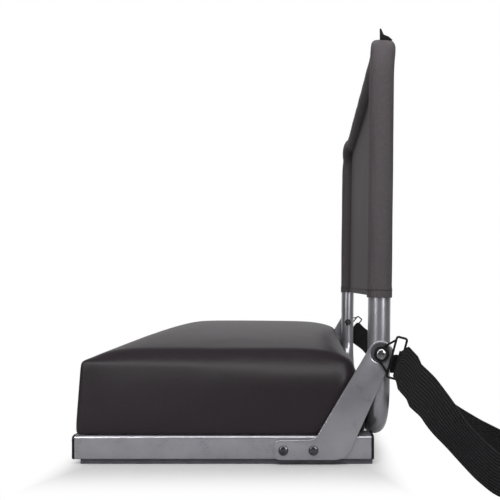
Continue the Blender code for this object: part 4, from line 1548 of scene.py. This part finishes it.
@dataclass
class BackCover(Assembly):
    """The fabric back: sleeves round the uprights and top bar, a panel, corner ears and stitching."""

    shape: BackShape
    cloth: float = 0.0009
    fit_gap: float = 0.0003
    sleeve_ease: float = 0.0001
    sleeve_step: float = 0.004
    sleeve_sides: int = 48
    rumple_depth: float = 0.00035
    rumple_scale: Point = (40.0, 40.0, 14.0)
    corner_angle: float = math.radians(60)
    corner_spread: float = math.radians(32)
    corner_squareness: float = 3.2
    front_squareness: float = 4.8
    slack_left: float = 0.0042
    slack_right: float = 0.0012
    panel_thickness: float = 0.0016
    panel_setback: float = 0.004
    panel_faces: tuple[int, int] = (96, 64)
    panel_tuck: float = 0.0008
    top_tuck: float = 0.0006
    panel_sag: float = 0.002
    sag_least: float = 0.55
    sag_height: float = 0.45
    pull: float = 0.0006
    pull_scale: Pair = (5.0, 30.0)
    pull_slice: float = 0.3
    hem_height: float = 0.0085
    hem_swell: float = 0.0004
    stitch_pitch: float = 0.0032
    stitch_length: float = 0.0023
    stitch_radius: float = 0.00032
    stitch_proud: float = 0.0001
    seam_inset: float = 0.0045
    hem_seam_drop: float = 0.001
    ear_thickness: float = 0.004
    ear_pinch: float = 60.0
    ear_round: float = 0.0004
    ear_root: float = 0.0008
    ear_fold: tuple[Pair, ...] = (
        (0.0080, 0.0), (0.0039, 0.0030), (-0.0012, 0.0047), (-0.0042, 0.0100), (-0.0056, 0.0097),
        (-0.0046, 0.0))

    @property
    def sleeve_radius(self) -> float:
        """The sleeve's outer radius."""
        return self.shape.tube_radius + self.fit_gap + self.cloth

    def build(self) -> None:
        """Make the cover's pieces and dress them."""
        sleeve, panel = self.sleeve(), self.panel()
        ears, stitches = self.ears(), self.stitches()
        for piece in (sleeve, panel, ears, stitches):
            piece.data.transform(self.shape.stand())
        self.fit(Bench.smooth(sleeve, 60), Body.BACK, BACK_CLOTH, "back_cover")
        self.fit(Bench.smooth(panel, 60), Body.BACK, BACK_CLOTH)
        # The ears are painted near black, as painted shade under the folded corners.
        self.fit(Bench.smooth(ears, 60), Body.BACK, EAR_SHADE_CLOTH)
        self.fit(Bench.smooth(stitches, 60), Body.BACK, THREAD)

    def sleeve(self) -> Piece:
        """The sleeve round the uprights and the top bar, squared and loose at its top corners, hemmed below.

        Returns:
            The sleeve, in the back's own frame.
        """
        shape = self.shape
        line = shape.upper(shape.hem_rise, self.sleeve_step)
        last = len(line) - 1

        def wrap(around: float, along: float) -> Vector:
            """The place of a point from its shares round the tube and along it."""
            index = round(along * last)
            ahead = (line[min(index + 1, last)] - line[max(index - 1, 0)]).normalized()
            out = Vector((-ahead.z, 0, ahead.x)).normalized()
            across, up = math.cos(math.tau * around), math.sin(math.tau * around)
            off = (math.atan2(abs(ahead.x), abs(ahead.z)) - self.corner_angle) / self.corner_spread
            corner = max(0.0, 1 - off * off)
            if up > 0:
                squareness = self.front_squareness if across > 0 else self.corner_squareness
                power = 2 / (2 + (squareness - 2) * corner)
                across, up = math.copysign(abs(across) ** power, across), up ** power
            slack = (self.slack_left if line[index].x < 0 else self.slack_right) * corner * max(0.0, across)
            hem = self.hem_swell if line[index].z - shape.hem_rise < self.hem_height else 0.0
            reach = self.sleeve_radius - self.sleeve_ease + hem
            return line[index] + (ahead.cross(out) * across + out * up) * reach + Vector((0, -slack, 0))

        sleeve = Bench.sheet("back_sleeve", self.sleeve_sides, last, wrap)
        Bench.weld(sleeve)
        self.rumple(sleeve)
        Bench.apply(sleeve, "SOLIDIFY", thickness=self.cloth, offset=-1.0)
        return sleeve

    def rumple(self, piece: Piece) -> None:
        """Move a cloth's points along their normals by soft noise.

        Args:
            piece: The cloth.
        """
        moves = []
        for corner in piece.data.vertices:
            spot = Vector(a * b for a, b in zip(corner.co, self.rumple_scale))
            moves.append(corner.normal * self.rumple_depth * noise.noise(spot))
        for corner, move in zip(piece.data.vertices, moves):
            corner.co += move

    def depth(self, x: float, z: float) -> float:
        """How far the panel's middle layer lies behind the uprights' plane.

        Args:
            x: The point's place across the back.
            z: Its height above the pivot.

        Returns:
            The depth, with the sag and the fine pulls of stretched cloth.
        """
        shape = self.shape
        across = x / (shape.tube_x - self.sleeve_radius)
        up = (z - shape.hem_rise) / (shape.rise - self.sleeve_radius - shape.hem_rise)
        upwards = math.cos(math.pi * (up - self.sag_height))
        middle = max(0.0, 1 - across ** 2) * (self.sag_least + (1 - self.sag_least) * upwards)
        spot = Vector((x * self.pull_scale[0], self.pull_slice, z * self.pull_scale[1]))
        pull = self.pull * noise.noise(spot) * max(0.0, 1 - across ** 8)
        return self.panel_setback + self.panel_sag * middle + pull

    def panel(self) -> Piece:
        """The panel between the sleeves, drawn tight across and hemmed along its bottom.

        Returns:
            The panel, in the back's own frame.
        """
        shape = self.shape
        inset = math.sqrt(self.sleeve_radius ** 2 - self.panel_setback ** 2) - self.panel_tuck
        half, top = shape.tube_x - inset, shape.rise - self.sleeve_radius + self.top_tuck
        bottom = shape.hem_rise
        turn = shape.top_bend - inset
        corner = Vector((half - turn, top - turn))

        def lie(across: float, up: float) -> Vector:
            """The place of a point from its shares across the panel and up it."""
            x, z = (2 * across - 1) * half, bottom + (top - bottom) * up
            out = Vector((abs(x) - corner.x, z - corner.y))
            if out.x > 0 and out.y > 0 and out.length > turn:
                out *= turn / out.length
                x, z = math.copysign(corner.x + out.x, x), corner.y + out.y
            return Vector((x, self.depth(x, z), z))

        panel = Bench.sheet("back_panel", *self.panel_faces, lie)
        Bench.apply(panel, "SOLIDIFY", thickness=self.panel_thickness, offset=0.0)
        for point in panel.data.vertices:
            if point.co.z < bottom + self.hem_height and abs(point.normal.y) > 0.5:
                point.co.y += math.copysign(self.hem_swell, point.normal.y)
        Bench.weld(panel)
        return panel

    def ears(self) -> Piece:
        """The folded corners of cloth that stand up at both top bends.

        Returns:
            Both ears, in the back's own frame.
        """
        shape = self.shape
        root = self.sleeve_radius - self.ear_root
        outline = [(self.ear_fold[-1][0], root), (self.ear_fold[0][0], root)]
        outline += [(along, self.sleeve_radius + up) for along, up in self.ear_fold]
        back = shape.top_setback * ease(self.corner_angle / math.radians(90))
        both = []
        for side in Side:
            ear = Bench.slab(f"ear_{side.word}", outline, -self.ear_thickness / 2, self.ear_thickness / 2)
            for corner in ear.data.vertices:
                corner.co.x *= 1 - self.ear_pinch * max(0.0, corner.co.z - self.sleeve_radius)
            Bench.bevel(ear, lambda edge: True, self.ear_round, 2)
            ear.data.transform(Matrix.Translation((0, 0, shape.top_bend)))
            ear.data.transform(Matrix.Rotation(side.value * (math.pi / 2 - self.corner_angle), 4, "Y"))
            ear.data.transform(Matrix.Translation((side.value * (shape.tube_x - shape.top_bend), back,
                                                   shape.rise - shape.top_bend)))
            Bench.weld(ear)
            both.append(ear)
        return Bench.joined(both, "corner_ears")

    def stitches(self) -> Piece:
        """The sewing: along the panel's hem, round both sleeve hems and down the panel's sides.

        Returns:
            The stitches, in the back's own frame.
        """
        shape = self.shape
        face = self.panel_thickness / 2 + self.stitch_proud
        edge = shape.tube_x - self.sleeve_radius - self.seam_inset
        line = shape.hem_rise + self.hem_height - self.hem_seam_drop
        top = shape.rise - self.sleeve_radius - self.seam_inset
        spots: list[tuple[Vector, Vector]] = []
        for front in (-1, 1):
            for share in self.steps(2 * edge):
                x = edge * (2 * share - 1)
                low = self.depth(x, line) + front * (face + self.hem_swell)
                spots.append((Vector((x, low, line)), Vector((1, 0, 0))))
                spots.append((Vector((x, self.depth(x, top) + front * face, top)), Vector((1, 0, 0))))
            for share in self.steps(top - line):
                z = line + (top - line) * share
                for x in (-edge, edge):
                    spots.append((Vector((x, self.depth(x, z) + front * face, z)), Vector((0, 0, 1))))
        ring = self.sleeve_radius + self.hem_swell
        for share in self.steps(math.tau * ring):
            turn = math.tau * share
            out = Vector((math.cos(turn), math.sin(turn), 0))
            for side in Side:
                spots.append((Vector((side.value * shape.tube_x, 0, line)) + out * ring,
                              Vector((-out.y, out.x, 0))))
        return self.sewn(spots)

    def steps(self, length: float) -> list[float]:
        """Shares of a seam's length at which its stitches lie."""
        count = round(length / self.stitch_pitch)
        return [(step + 0.5) / count for step in range(count)]

    def sewn(self, spots: Sequence[tuple[Vector, Vector]]) -> Piece:
        """One stitch copied to every spot.

        Args:
            spots: Each stitch's middle and the way it runs.

        Returns:
            The stitches, as one piece.
        """
        stitch = Bench.rod("stitch", (0, 0, 0), self.stitch_radius, self.stitch_length, sides=6)
        with Bench.editing(stitch):
            Bench.pick(stitch, "FACE", lambda face: abs(face.normal.z) > 0.9)
            bpy.ops.mesh.inset(thickness=self.stitch_radius * 0.5, depth=self.stitch_radius * 0.5)
        rows: list[Vector] = []
        faces: list[tuple[int, ...]] = []
        for place, way in spots:
            turn = way.to_track_quat("Z", "Y").to_matrix().to_4x4()
            first = len(rows)
            rows += [place + turn @ corner.co for corner in stitch.data.vertices]
            faces += [tuple(first + index for index in face.vertices) for face in stitch.data.polygons]
        mesh = bpy.data.meshes.new("stitching")
        mesh.from_pydata(rows, [], faces)
        bpy.data.objects.remove(stitch, do_unlink=True)
        return Bench.placed("stitching", mesh)


@dataclass
class SeatPad(Assembly):
    """The cushion: cloth drawn over foam, crowned on top and turned under the board."""

    taper: float = 0.0028
    draw_in: float = 0.003
    rear_lean: float = 0.010
    edge_round: float = 0.0055
    rear_roll: float = 0.011
    roll_drop: float = 0.026
    roll_power: float = 8.0
    front_corner: float = 0.0055
    rear_corner: float = 0.020
    height: float = 0.0720
    waist: float = 0.0113
    crown: float = 0.0176
    crown_power: float = 7.0
    lift_start: float = 0.55
    rim: float = 0.005
    front_rise: float = 0.06
    dome: float = 0.6
    dome_power: float = 2.2
    knee: float = 0.90
    knee_run: float = 0.008
    edge_slope: float = 0.60
    swell: float = 0.0003
    voxel: float = 0.0055
    held_height: float = 0.006
    pressure: float = 3.0
    frames: int = 20
    most_move: float = 0.0012
    hem_width: float = 0.035
    cloth: float = 0.001
    lining: float = 0.0016
    board_gap: float = 0.0003

    def build(self) -> None:
        """Make the cushion, blow it up, open its underside and dress it, and fill it with foam."""
        low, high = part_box("seat_cover")
        pad = self.blank(low, high)
        self.mould(pad, low, high)
        self.inflate(pad, low)
        core = self.foam(pad, low)
        Bench.apply(pad, "SUBSURF", levels=1, render_levels=1)
        self.open_below(pad, low, high)
        self.fit(Bench.smooth(pad, 60), Body.BASE, SEAT_CLOTH, "seat_cover")
        self.fit(Bench.smooth(core, 60), Body.BASE, FOAM, "seat_foam")

    def blank(self, low: Vector, high: Vector) -> Piece:
        """A remeshed box with rounded edges, smaller by the swelling that follows.

        Args:
            low: The cushion's lowest corner.
            high: Its highest corner.

        Returns:
            The blank.
        """
        inset = self.swell
        top = low.z + self.height - inset
        pad = Bench.block("seat_cushion", low + Vector((inset, inset, 0)),
                          (high.x - inset, high.y - inset, top))
        middle = (low.y + high.y) / 2
        for way, turn in ((-1, self.front_corner), (1, self.rear_corner)):
            Bench.bevel(pad, lambda edge: Bench.runs_along(edge, 2)
                        and (edge.verts[0].co.y - middle) * way > 0, turn, 8)
        Bench.bevel(pad, lambda edge: Bench.lies_at(edge, 2, top), self.edge_round, 6)
        pad.data.remesh_voxel_size = self.voxel
        Bench.take(pad)
        bpy.ops.object.voxel_remesh()
        return pad

    def mould(self, pad: Piece, low: Vector, high: Vector) -> None:
        """Taper the sides, draw them in between the corners, lean the rear and crown the top.

        Args:
            pad: The blank.
            low: The cushion's lowest corner.
            high: Its highest corner.
        """
        middle = (low + high) / 2
        half = (high - low) / 2
        shoulder = self.height - self.edge_round
        for corner in pad.data.vertices:
            u = (corner.co.x - middle.x) / half.x
            v = (corner.co.y - middle.y) / half.y
            up = corner.co.z - low.z
            share = min(max(0.0, (up - self.waist) / (shoulder - self.waist)), 1.0)
            lean = self.rear_lean * max(0.0, (up - self.waist) / (self.height - self.waist)) ** 2
            past = max(0.0, abs(u) - self.knee) * half.x
            ramp = past ** 2 / (2 * self.knee_run) if past < self.knee_run else past - self.knee_run / 2
            flat_u = 1 - self.dome * abs(u) ** self.dome_power - ramp * self.edge_slope / self.crown
            flat_v = max(0.0, 1 - abs(v * half.y / (half.y - self.rim)) ** self.crown_power)
            flat_v *= 1 - self.front_rise * v
            lift = max(0.0, (up / self.height - self.lift_start) / (1 - self.lift_start)) ** 2
            roll = self.rear_roll * (v + 1) / 2 * max(0.0, 1 - (self.height - up) / self.roll_drop) ** 2
            corner.co.x -= u * share * (self.taper + self.draw_in * (1 - min(v * v, 1)))
            corner.co.x -= roll * math.copysign(min(abs(u), 1) ** self.roll_power, u)
            corner.co.y -= v * share * (self.taper + self.draw_in * (1 - min(u * u, 1))) + lean * (v + 1) / 2
            corner.co.z += self.crown * flat_u * flat_v * lift

    def foam(self, pad: Piece, low: Vector) -> Piece:
        """The foam inside the cloth, cut flat where it lies on the board.

        Args:
            pad: The cushion, closed.
            low: Its lowest corner.

        Returns:
            The foam.
        """
        core = Bench.copied(pad, "foam_core")
        moves = [corner.normal * -self.lining for corner in core.data.vertices]
        for corner, move in zip(core.data.vertices, moves):
            corner.co += move
            corner.co.z = max(corner.co.z, low.z + self.waist + self.board_gap)
        return core

    def inflate(self, pad: Piece, low: Vector) -> None:
        """Blow the cloth up a little with a cloth simulation, held along its foot.

        Args:
            pad: The moulded cushion.
            low: Its lowest corner.
        """
        start = [corner.co.copy() for corner in pad.data.vertices]
        held = pad.vertex_groups.new(name="held")
        foot = low.z + self.held_height
        held.add([index for index, co in enumerate(start) if co.z < foot], 1.0, "REPLACE")
        Bench.take(pad)
        sim = pad.modifiers.new("blow_up", "CLOTH")
        settings = {"quality": 5, "mass": 0.25, "tension_stiffness": 25, "compression_stiffness": 25,
                    "bending_stiffness": 2, "use_pressure": True,
                    "uniform_pressure_force": self.pressure, "vertex_group_mass": held.name}
        for key, value in settings.items():
            setattr(sim.settings, key, value)
        sim.settings.effector_weights.gravity = 0
        sim.point_cache.frame_start = 1
        sim.point_cache.frame_end = self.frames
        scene = bpy.context.scene
        for frame in range(1, self.frames + 1):
            scene.frame_set(frame)
        bpy.ops.object.modifier_apply(modifier=sim.name)
        scene.frame_set(1)
        moves = [corner.co - before for corner, before in zip(pad.data.vertices, start)]
        longest = max(move.length for move in moves)
        log.info("the cloth moves by up to %.1f mm", longest * 1000)
        for corner, before, move in zip(pad.data.vertices, start, moves):
            corner.co = before + move * min(1.0, self.most_move / longest)
        pad.vertex_groups.clear()

    def open_below(self, pad: Piece, low: Vector, high: Vector) -> None:
        """Flatten the underside, cut the hem's window in it and give the cloth its thickness.

        Args:
            pad: The cushion.
            low: Its lowest corner.
            high: Its highest corner.
        """
        for corner in pad.data.vertices:
            corner.co.z = max(corner.co.z, low.z)
        hem = self.hem_width
        with Bench.editing(pad):
            Bench.pick(pad, "FACE", lambda face: face.normal.z < -0.9
                       and low.x + hem < face.calc_center_median().x < high.x - hem
                       and low.y + hem < face.calc_center_median().y < high.y - hem)
            bpy.ops.mesh.delete(type="FACE")
        Bench.apply(pad, "SOLIDIFY", thickness=self.cloth, offset=-1.0)


@dataclass
class RingShape:
    """One side's strap ring: its wire, and where the strap is folded round it."""

    side: Side
    pivot: Vector
    tilt: float
    wire: float = 0.0022
    bolt_radius: float = 0.0030
    gap: float = 0.0003
    bar_reach: float = 0.0105
    bar_half: float = 0.0164
    reach: float = 0.0205
    half: float = 0.0198
    bend: float = 0.002

    @property
    def plane(self) -> float:
        """The X of the wire's middle."""
        low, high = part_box(f"strap_ring_{self.side.word}")
        return (low.x + high.x) / 2

    def stand(self) -> Matrix:
        """The ring's own frame: on the bolt, tilted down."""
        return Matrix.Translation(self.pivot) @ Matrix.Rotation(-self.tilt, 4, "X")

    def bar_way(self) -> Vector:
        """The way that the outer bar points, upwards."""
        return Vector((0, math.sin(self.tilt), math.cos(self.tilt)))

    def hold(self) -> Vector:
        """The middle of the outer bar."""
        out = Vector((self.plane, self.reach * math.cos(self.tilt), -self.reach * math.sin(self.tilt)))
        return out + self.pivot


@dataclass
class StrapRings(Assembly):
    """The bent wire rings on the pivot bolts."""

    shapes: Sequence[RingShape]

    def build(self) -> None:
        """Make both rings."""
        for shape in self.shapes:
            word = shape.side.word
            self.fit(self.ring(shape), Body.ring(shape.side), WIRE, f"strap_ring_{word}")

    def ring(self, shape: RingShape) -> Piece:
        """One ring: an eye on the bolt, two legs, a cross bar and a square loop.

        Args:
            shape: The ring's sizes and lie.

        Returns:
            The ring.
        """
        eye = shape.bolt_radius + shape.gap + shape.wire / 2
        shoulder = (shape.bar_reach, shape.bar_half)
        touch = tangent_angle(shoulder, (0, 0), eye, 1)
        corners = [(u, v, 0.0) for u, v in arc((0, 0), eye, touch, math.tau - touch, 24)]
        corners += [(shape.bar_reach, -shape.bar_half, 0.0), (shape.bar_reach, -shape.half, shape.bend),
                    (shape.reach, -shape.half, shape.bend), (shape.reach, shape.half, shape.bend),
                    (shape.bar_reach, shape.half, shape.bend), (*shoulder, 0.0)]
        loop = [(shape.plane, u, v) for u, v in rounded(corners, 6)]
        ring = Bench.sweep(f"wire_ring_{shape.side.word}", loop, shape.wire / 2, 16, closed=True)
        bar = Bench.sweep("cross_wire", [(shape.plane, shape.bar_reach, -shape.bar_half),
                                         (shape.plane, shape.bar_reach, shape.bar_half)], shape.wire / 2, 16)
        Bench.combine(ring, bar, "UNION")
        ring.data.transform(shape.stand())
        return Bench.smooth(ring, 50)


@dataclass(frozen=True)
class StrapFall:
    """How the strap leaves one ring and falls to the floor, outwards, rearwards and down."""

    dip: float
    steps: tuple[Point, ...]
    landing: Point

    def run(self) -> Vector:
        """The way that the strap leaves its ring."""
        return Vector((0, math.cos(self.dip), -math.sin(self.dip)))


NEAR_FALL = StrapFall(dip=math.radians(48), landing=(0.0660, 0.0690), steps=(
    (0.0030, 0.0085, -0.0138), (0.0107, 0.0215, -0.0336),
    (0.0227, 0.0382, -0.0572), (0.0500, 0.0570, -0.0776)))
FAR_FALL = StrapFall(dip=math.radians(45), landing=(0.0560, 0.0780), steps=(
    (0.0016, 0.0130, -0.0130), (0.0045, 0.0215, -0.0240),
    (0.0150, 0.0370, -0.0440), (0.0380, 0.0580, -0.0640)))


@dataclass
class CarryStrap(Assembly):
    """The webbing strap from ring to ring, in two halves, each shaped round its own ring."""

    rings: Sequence[RingShape]
    falls: Sequence[StrapFall] = (NEAR_FALL, FAR_FALL)
    width: float = 0.035
    thickness: float = 0.0015
    lap_start: float = 0.002
    tail: float = 0.020
    tail_lie: float = 0.014
    knee_reach: float = 0.009
    lap_gap: float = 0.0002
    fold_steps: int = 36
    flare: float = 11.0
    slack: float = 0.0014
    bunch: float = 0.025
    spread_start: float = 0.0195
    spread_length: float = 0.008
    outer: tuple[float, ...] = (0.0025, 0.005, 0.0075, 0.010, 0.0125)
    slump: float = 0.0055
    slump_length: float = 0.030
    skew_length: float = 0.065
    floor_gap: float = 0.0005
    points: int = 260
    columns: int = 12
    leave: float = 0.018
    floor: tuple[Point, ...] = ((0.296, 0.250), (0.284, 0.268), (0.262, 0.266), (0.238, 0.252),
                                (0.205, 0.244), (0.170, 0.238), (0.100, 0.232), (0.0, 0.232),
                                (-0.100, 0.236), (-0.190, 0.246), (-0.250, 0.250), (-0.285, 0.238))

    def build(self) -> None:
        line = smooth_run(self.route(), self.points)
        for point in line:
            point.z = max(point.z, self.floor_gap + self.width / 2)
        middle = len(line) // 2
        halves = (line[:middle + 1], line[:middle - 1:-1])
        for ring, fall, half in zip(self.rings, self.falls, halves):
            self.half(ring, fall, half)

    def wrap(self, ring: RingShape) -> float:
        """How far the folded strap's outer face stands from the ring's wire axis."""
        return ring.wire / 2 + ring.gap + self.thickness

    def descent(self, ring: RingShape, fall: StrapFall) -> list[Vector]:
        """The strap's own points from one ring down to the floor.

        Args:
            ring: The ring.
            fall: How the strap falls from it.

        Returns:
            The points.
        """
        lap = self.wrap(ring) + ring.gap + self.thickness / 2
        out = ring.side.value
        start = ring.hold() + fall.run() * self.lap_start + Vector((out * lap, 0, 0))
        places = [start] + [start + Vector((out * x, y, z)) for x, y, z in fall.steps]
        wide, rear = fall.landing
        return places + [Vector((start.x + out * wide, start.y + rear, self.floor_gap + self.width / 2))]

    def route(self) -> list[Vector]:
        """The strap's own points, from the right-hand ring round behind the chair to the left."""
        near, far = (self.descent(ring, fall) for ring, fall in zip(self.rings, self.falls))
        return near + [Vector((x, y, self.floor_gap + self.width / 2)) for x, y in self.floor] + far[::-1]

    def fold(self, ring: RingShape, fall: StrapFall) -> list[Vector]:
        """The strap's tail, and its way round the ring's outer bar.

        Args:
            ring: The ring.
            fall: How the strap falls from it.

        Returns:
            Points from the end of the tail, inside, to the outer face.
        """
        layer = self.wrap(ring) - self.thickness / 2 + self.slack
        inner = self.wrap(ring) - 1.5 * self.thickness - self.lap_gap
        knee = (self.knee_reach, inner)
        turn = tangent_angle(knee, (0, 0), layer, -1)
        flat = [(self.tail, inner), (self.tail_lie, inner), knee]
        flat += arc((0, 0), layer, turn, math.pi / 2 - math.tau, self.fold_steps)
        flat += [(u, layer + self.flare * u * u) for u in self.outer]
        run, bar = fall.run(), ring.bar_way()
        along = run / run.cross(bar).length
        square = (run - bar * run.dot(bar)).normalized()
        out = Vector((ring.side.value, 0, 0))
        return [ring.hold() + (along if u > 0 else square) * u + out * v for u, v in flat]

    def half(self, ring: RingShape, fall: StrapFall, line: Sequence[Vector]) -> None:
        """One half of the strap.

        Args:
            ring: The ring that it hangs on.
            fall: How it falls from that ring.
            line: The strap's centre line, from that ring to the middle.
        """
        side = ring.side
        free = [point for point in line if (point - line[0]).length > self.leave]
        fold = self.fold(ring, fall)
        bar = ring.bar_way()
        path = [point - bar * self.slump for point in fold]
        for point in free:
            regained = ease(min((point - fold[-1]).length / self.slump_length, 1.0))
            path.append(point - bar * self.slump * (1 - regained))
        skewed = self.width / fall.run().cross(bar).length
        along = [0.0]
        for first, second in zip(path, path[1:]):
            along.append(along[-1] + (second - first).length)
        edge = len(fold) - 1
        wide: list[Vector] = []
        for index, point in enumerate(path):
            ahead = path[min(index + 1, len(path) - 1)] - path[max(index - 1, 0)]
            flat = ahead.cross(Vector((0, 0, 1))).normalized()
            upright = flat.cross(ahead).normalized()
            spread = (along[index] - along[edge] + self.spread_start) / self.spread_length
            share = min((point - path[edge]).length / self.skew_length, 1.0) if index > edge else 0.0
            folded = bar * (self.bunch + (skewed - self.bunch) * ease(min(max(0.0, spread), 1.0)))
            wide.append(folded.lerp(upright * self.width, ease(share)) / 2)
        rows = len(path) - 1
        strap = Bench.sheet(f"strap_{side.word}", self.columns, rows, lambda across, up: (
            path[round(up * rows)] + wide[round(up * rows)] * (2 * across - 1)))
        chart = strap.data.uv_layers.active.data
        for loop in strap.data.loops:
            place = chart[loop.index]
            place.uv = ((place.uv.x - 0.5) * self.width, along[round(place.uv.y * rows)])
        Bench.apply(strap, "SOLIDIFY", thickness=self.thickness, offset=0.0)
        Bench.smooth(strap, 60)
        self.dress(strap, WEBBING)
        Body.ring(side).value
        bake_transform(strap)
        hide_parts(f"strap_end_{side.word}", "carry_strap")
        tuple(ring.hold())


# Studio


@dataclass(frozen=True)
class Softbox:
    """A lamp that faces the chair, in metres and watts, and the kinds of surface that it lights."""

    name: str
    place: Point
    size: Pair
    power: float
    glossy: bool = True
    diffuse: bool = True


@dataclass
class Studio:
    """A pale floor, soft light and the camera at the photograph's angle."""

    pivot: Vector
    eye_from_pivot: Point = (0.676, -0.0677, 0.0644)
    lens: float = 34.8
    shift: Pair = (-0.12, 0.072)
    aim: Point = (0.1, 0.03, 0.12)
    ambient: float = 0.20
    gloss_share: float = 0.8
    sky_behind: Pair = (0.62, 0.92)
    floor_size: float = 12.0
    floor_behind: Pair = (0.4, 0.9)
    floor_near: Colour = (0.54, 0.54, 0.54)
    floor_far: Colour = (0.20, 0.20, 0.20)
    floor_fade: Pair = (0.30, 0.60)
    floor_lift: float = 0.02
    shade_half: Pair = (0.2125, 0.13)
    shade_middle: float = -0.0145
    shade_reach: float = 0.07
    shade_end: float = 1.8
    lamps: tuple[Softbox, ...] = (
        Softbox("key_softbox", (-0.55, 0.0, 1.35), (0.9, 0.9), 11.0, glossy=False),
        Softbox("bank_softbox", (1.0, 0.0, 1.25), (1.8, 0.45), 24.0),
        Softbox("front_softbox", (1.15, -0.76, 0.5), (0.25, 0.6), 8.0, diffuse=False),
        Softbox("rear_softbox", (1.25, 0.85, 0.5), (0.25, 0.6), 12.0, diffuse=False),
        Softbox("fill_softbox", (0.0, -1.5, 0.8), (0.9, 0.9), 4.0, glossy=False),
        Softbox("fill_softbox", (0.0, 1.5, 0.8), (0.9, 0.9), 4.0, glossy=False),
    )

    def build(self) -> None:
        """Set up the floor, the world, the lamps and the camera."""
        self.floor()
        self.world()
        for softbox in self.lamps:
            self.lamp(softbox)
        self.camera()
        bpy.context.scene.view_settings.view_transform = "Standard"

    def floor(self) -> None:
        """A pale floor that keeps the chair's shadow and fades to white round it."""
        Bench.clear()
        bpy.ops.mesh.primitive_plane_add(size=self.floor_size)
        floor = Bench.added("studio_floor")
        sheet = SurfaceSheet("pale_floor")
        across, along, _ = sheet.split(sheet.place())
        away = (across * across + along * along) ** 0.5
        sheet.set(Base_Color=sheet.mix(away.rise(*self.floor_fade), self.floor_near, self.floor_far),
                  Roughness=0.9, Specular_IOR_Level=0.1)
        seen = sheet.seen((across * -1.0).rise(*self.floor_behind))
        white = sheet.add("ShaderNodeEmission", inputs={"Strength": 1.0})
        lift = sheet.add("ShaderNodeEmission", inputs={"Strength": seen * self.floor_lift})
        shaded = sheet.add("ShaderNodeAddShader", inputs={0: Port(sheet, sheet.surface.outputs[0]), 1: lift})
        ends = ((along - self.shade_middle).size() - self.shade_half[1]) * self.shade_end
        clear = (across.size() - self.shade_half[0]).most(ends)
        share = seen * clear.rise(0.0, self.shade_reach)
        blend = sheet.add("ShaderNodeMixShader", inputs={0: share, 1: shaded, 2: white})
        sheet.feed(sheet.output.inputs["Surface"], blend)
        floor.data.materials.append(sheet.material)

    def world(self) -> None:
        """White where the background is seen, and a plain grey light elsewhere."""
        world = bpy.data.worlds.new("studio_world")
        bpy.context.scene.world = world
        world.use_nodes = True
        sheet = NodeSheet(world.node_tree)
        across, _, _ = sheet.split(sheet.add("ShaderNodeTexCoord"))
        seen = sheet.seen((across * -1.0).rise(*self.sky_behind) * self.gloss_share)
        strength = seen * (1 - self.ambient) + self.ambient
        light = sheet.add("ShaderNodeBackground", inputs={"Color": (1, 1, 1, 1), "Strength": strength})
        output = world.node_tree.nodes.new("ShaderNodeOutputWorld")
        sheet.feed(output.inputs["Surface"], light)

    def lamp(self, softbox: Softbox) -> None:
        """Set up a lamp and turn it to the chair.

        Args:
            softbox: The lamp.
        """
        light = bpy.data.lights.new(softbox.name, "AREA")
        light.shape = "RECTANGLE"
        light.size, light.size_y = softbox.size
        light.energy = softbox.power
        lamp = Bench.placed(softbox.name, light)
        lamp.location = softbox.place
        lamp.rotation_euler = (Vector(self.aim) - lamp.location).to_track_quat("-Z", "Y").to_euler()
        lamp.visible_glossy = softbox.glossy
        lamp.visible_diffuse = softbox.diffuse

    def camera(self) -> None:
        """The camera, level and square to the chair's right-hand side."""
        Bench.clear()
        bpy.ops.object.camera_add(location=self.pivot + Vector(self.eye_from_pivot),
                                  rotation=(math.radians(90), 0, math.radians(90)))
        camera = bpy.context.object
        camera.name = "photo_camera"
        camera.data.sensor_width = 36.0
        camera.data.lens = self.lens
        camera.data.shift_x, camera.data.shift_y = self.shift
        camera.data.clip_start = 0.01
        bpy.context.scene.camera = camera


def main() -> None:
    """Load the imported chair, dress it and light it."""
    logging.basicConfig(level=logging.INFO, format="%(message)s")
    for old in list(bpy.data.objects):
        bpy.data.objects.remove(old, do_unlink=True)
    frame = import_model()
    pivot = Vector(frame["joints"][0]["pos_m"])
    back = BackShape(pivot)
    rings = (RingShape(Side.RIGHT, pivot, math.radians(15)), RingShape(Side.LEFT, pivot, math.radians(39)))
    Studio(pivot).build()
    CarryStrap(rings).build()
    BaseFrame().build(frame["nodes"])
    SidePlates(pivot).build()
    Fasteners(pivot).build()
    BackTube(back).build()
    BackCover(back).build()
    StrapRings(rings).build()
    SeatPad().build()
    Bench.clear()


if __name__ == "__main__":
    main()
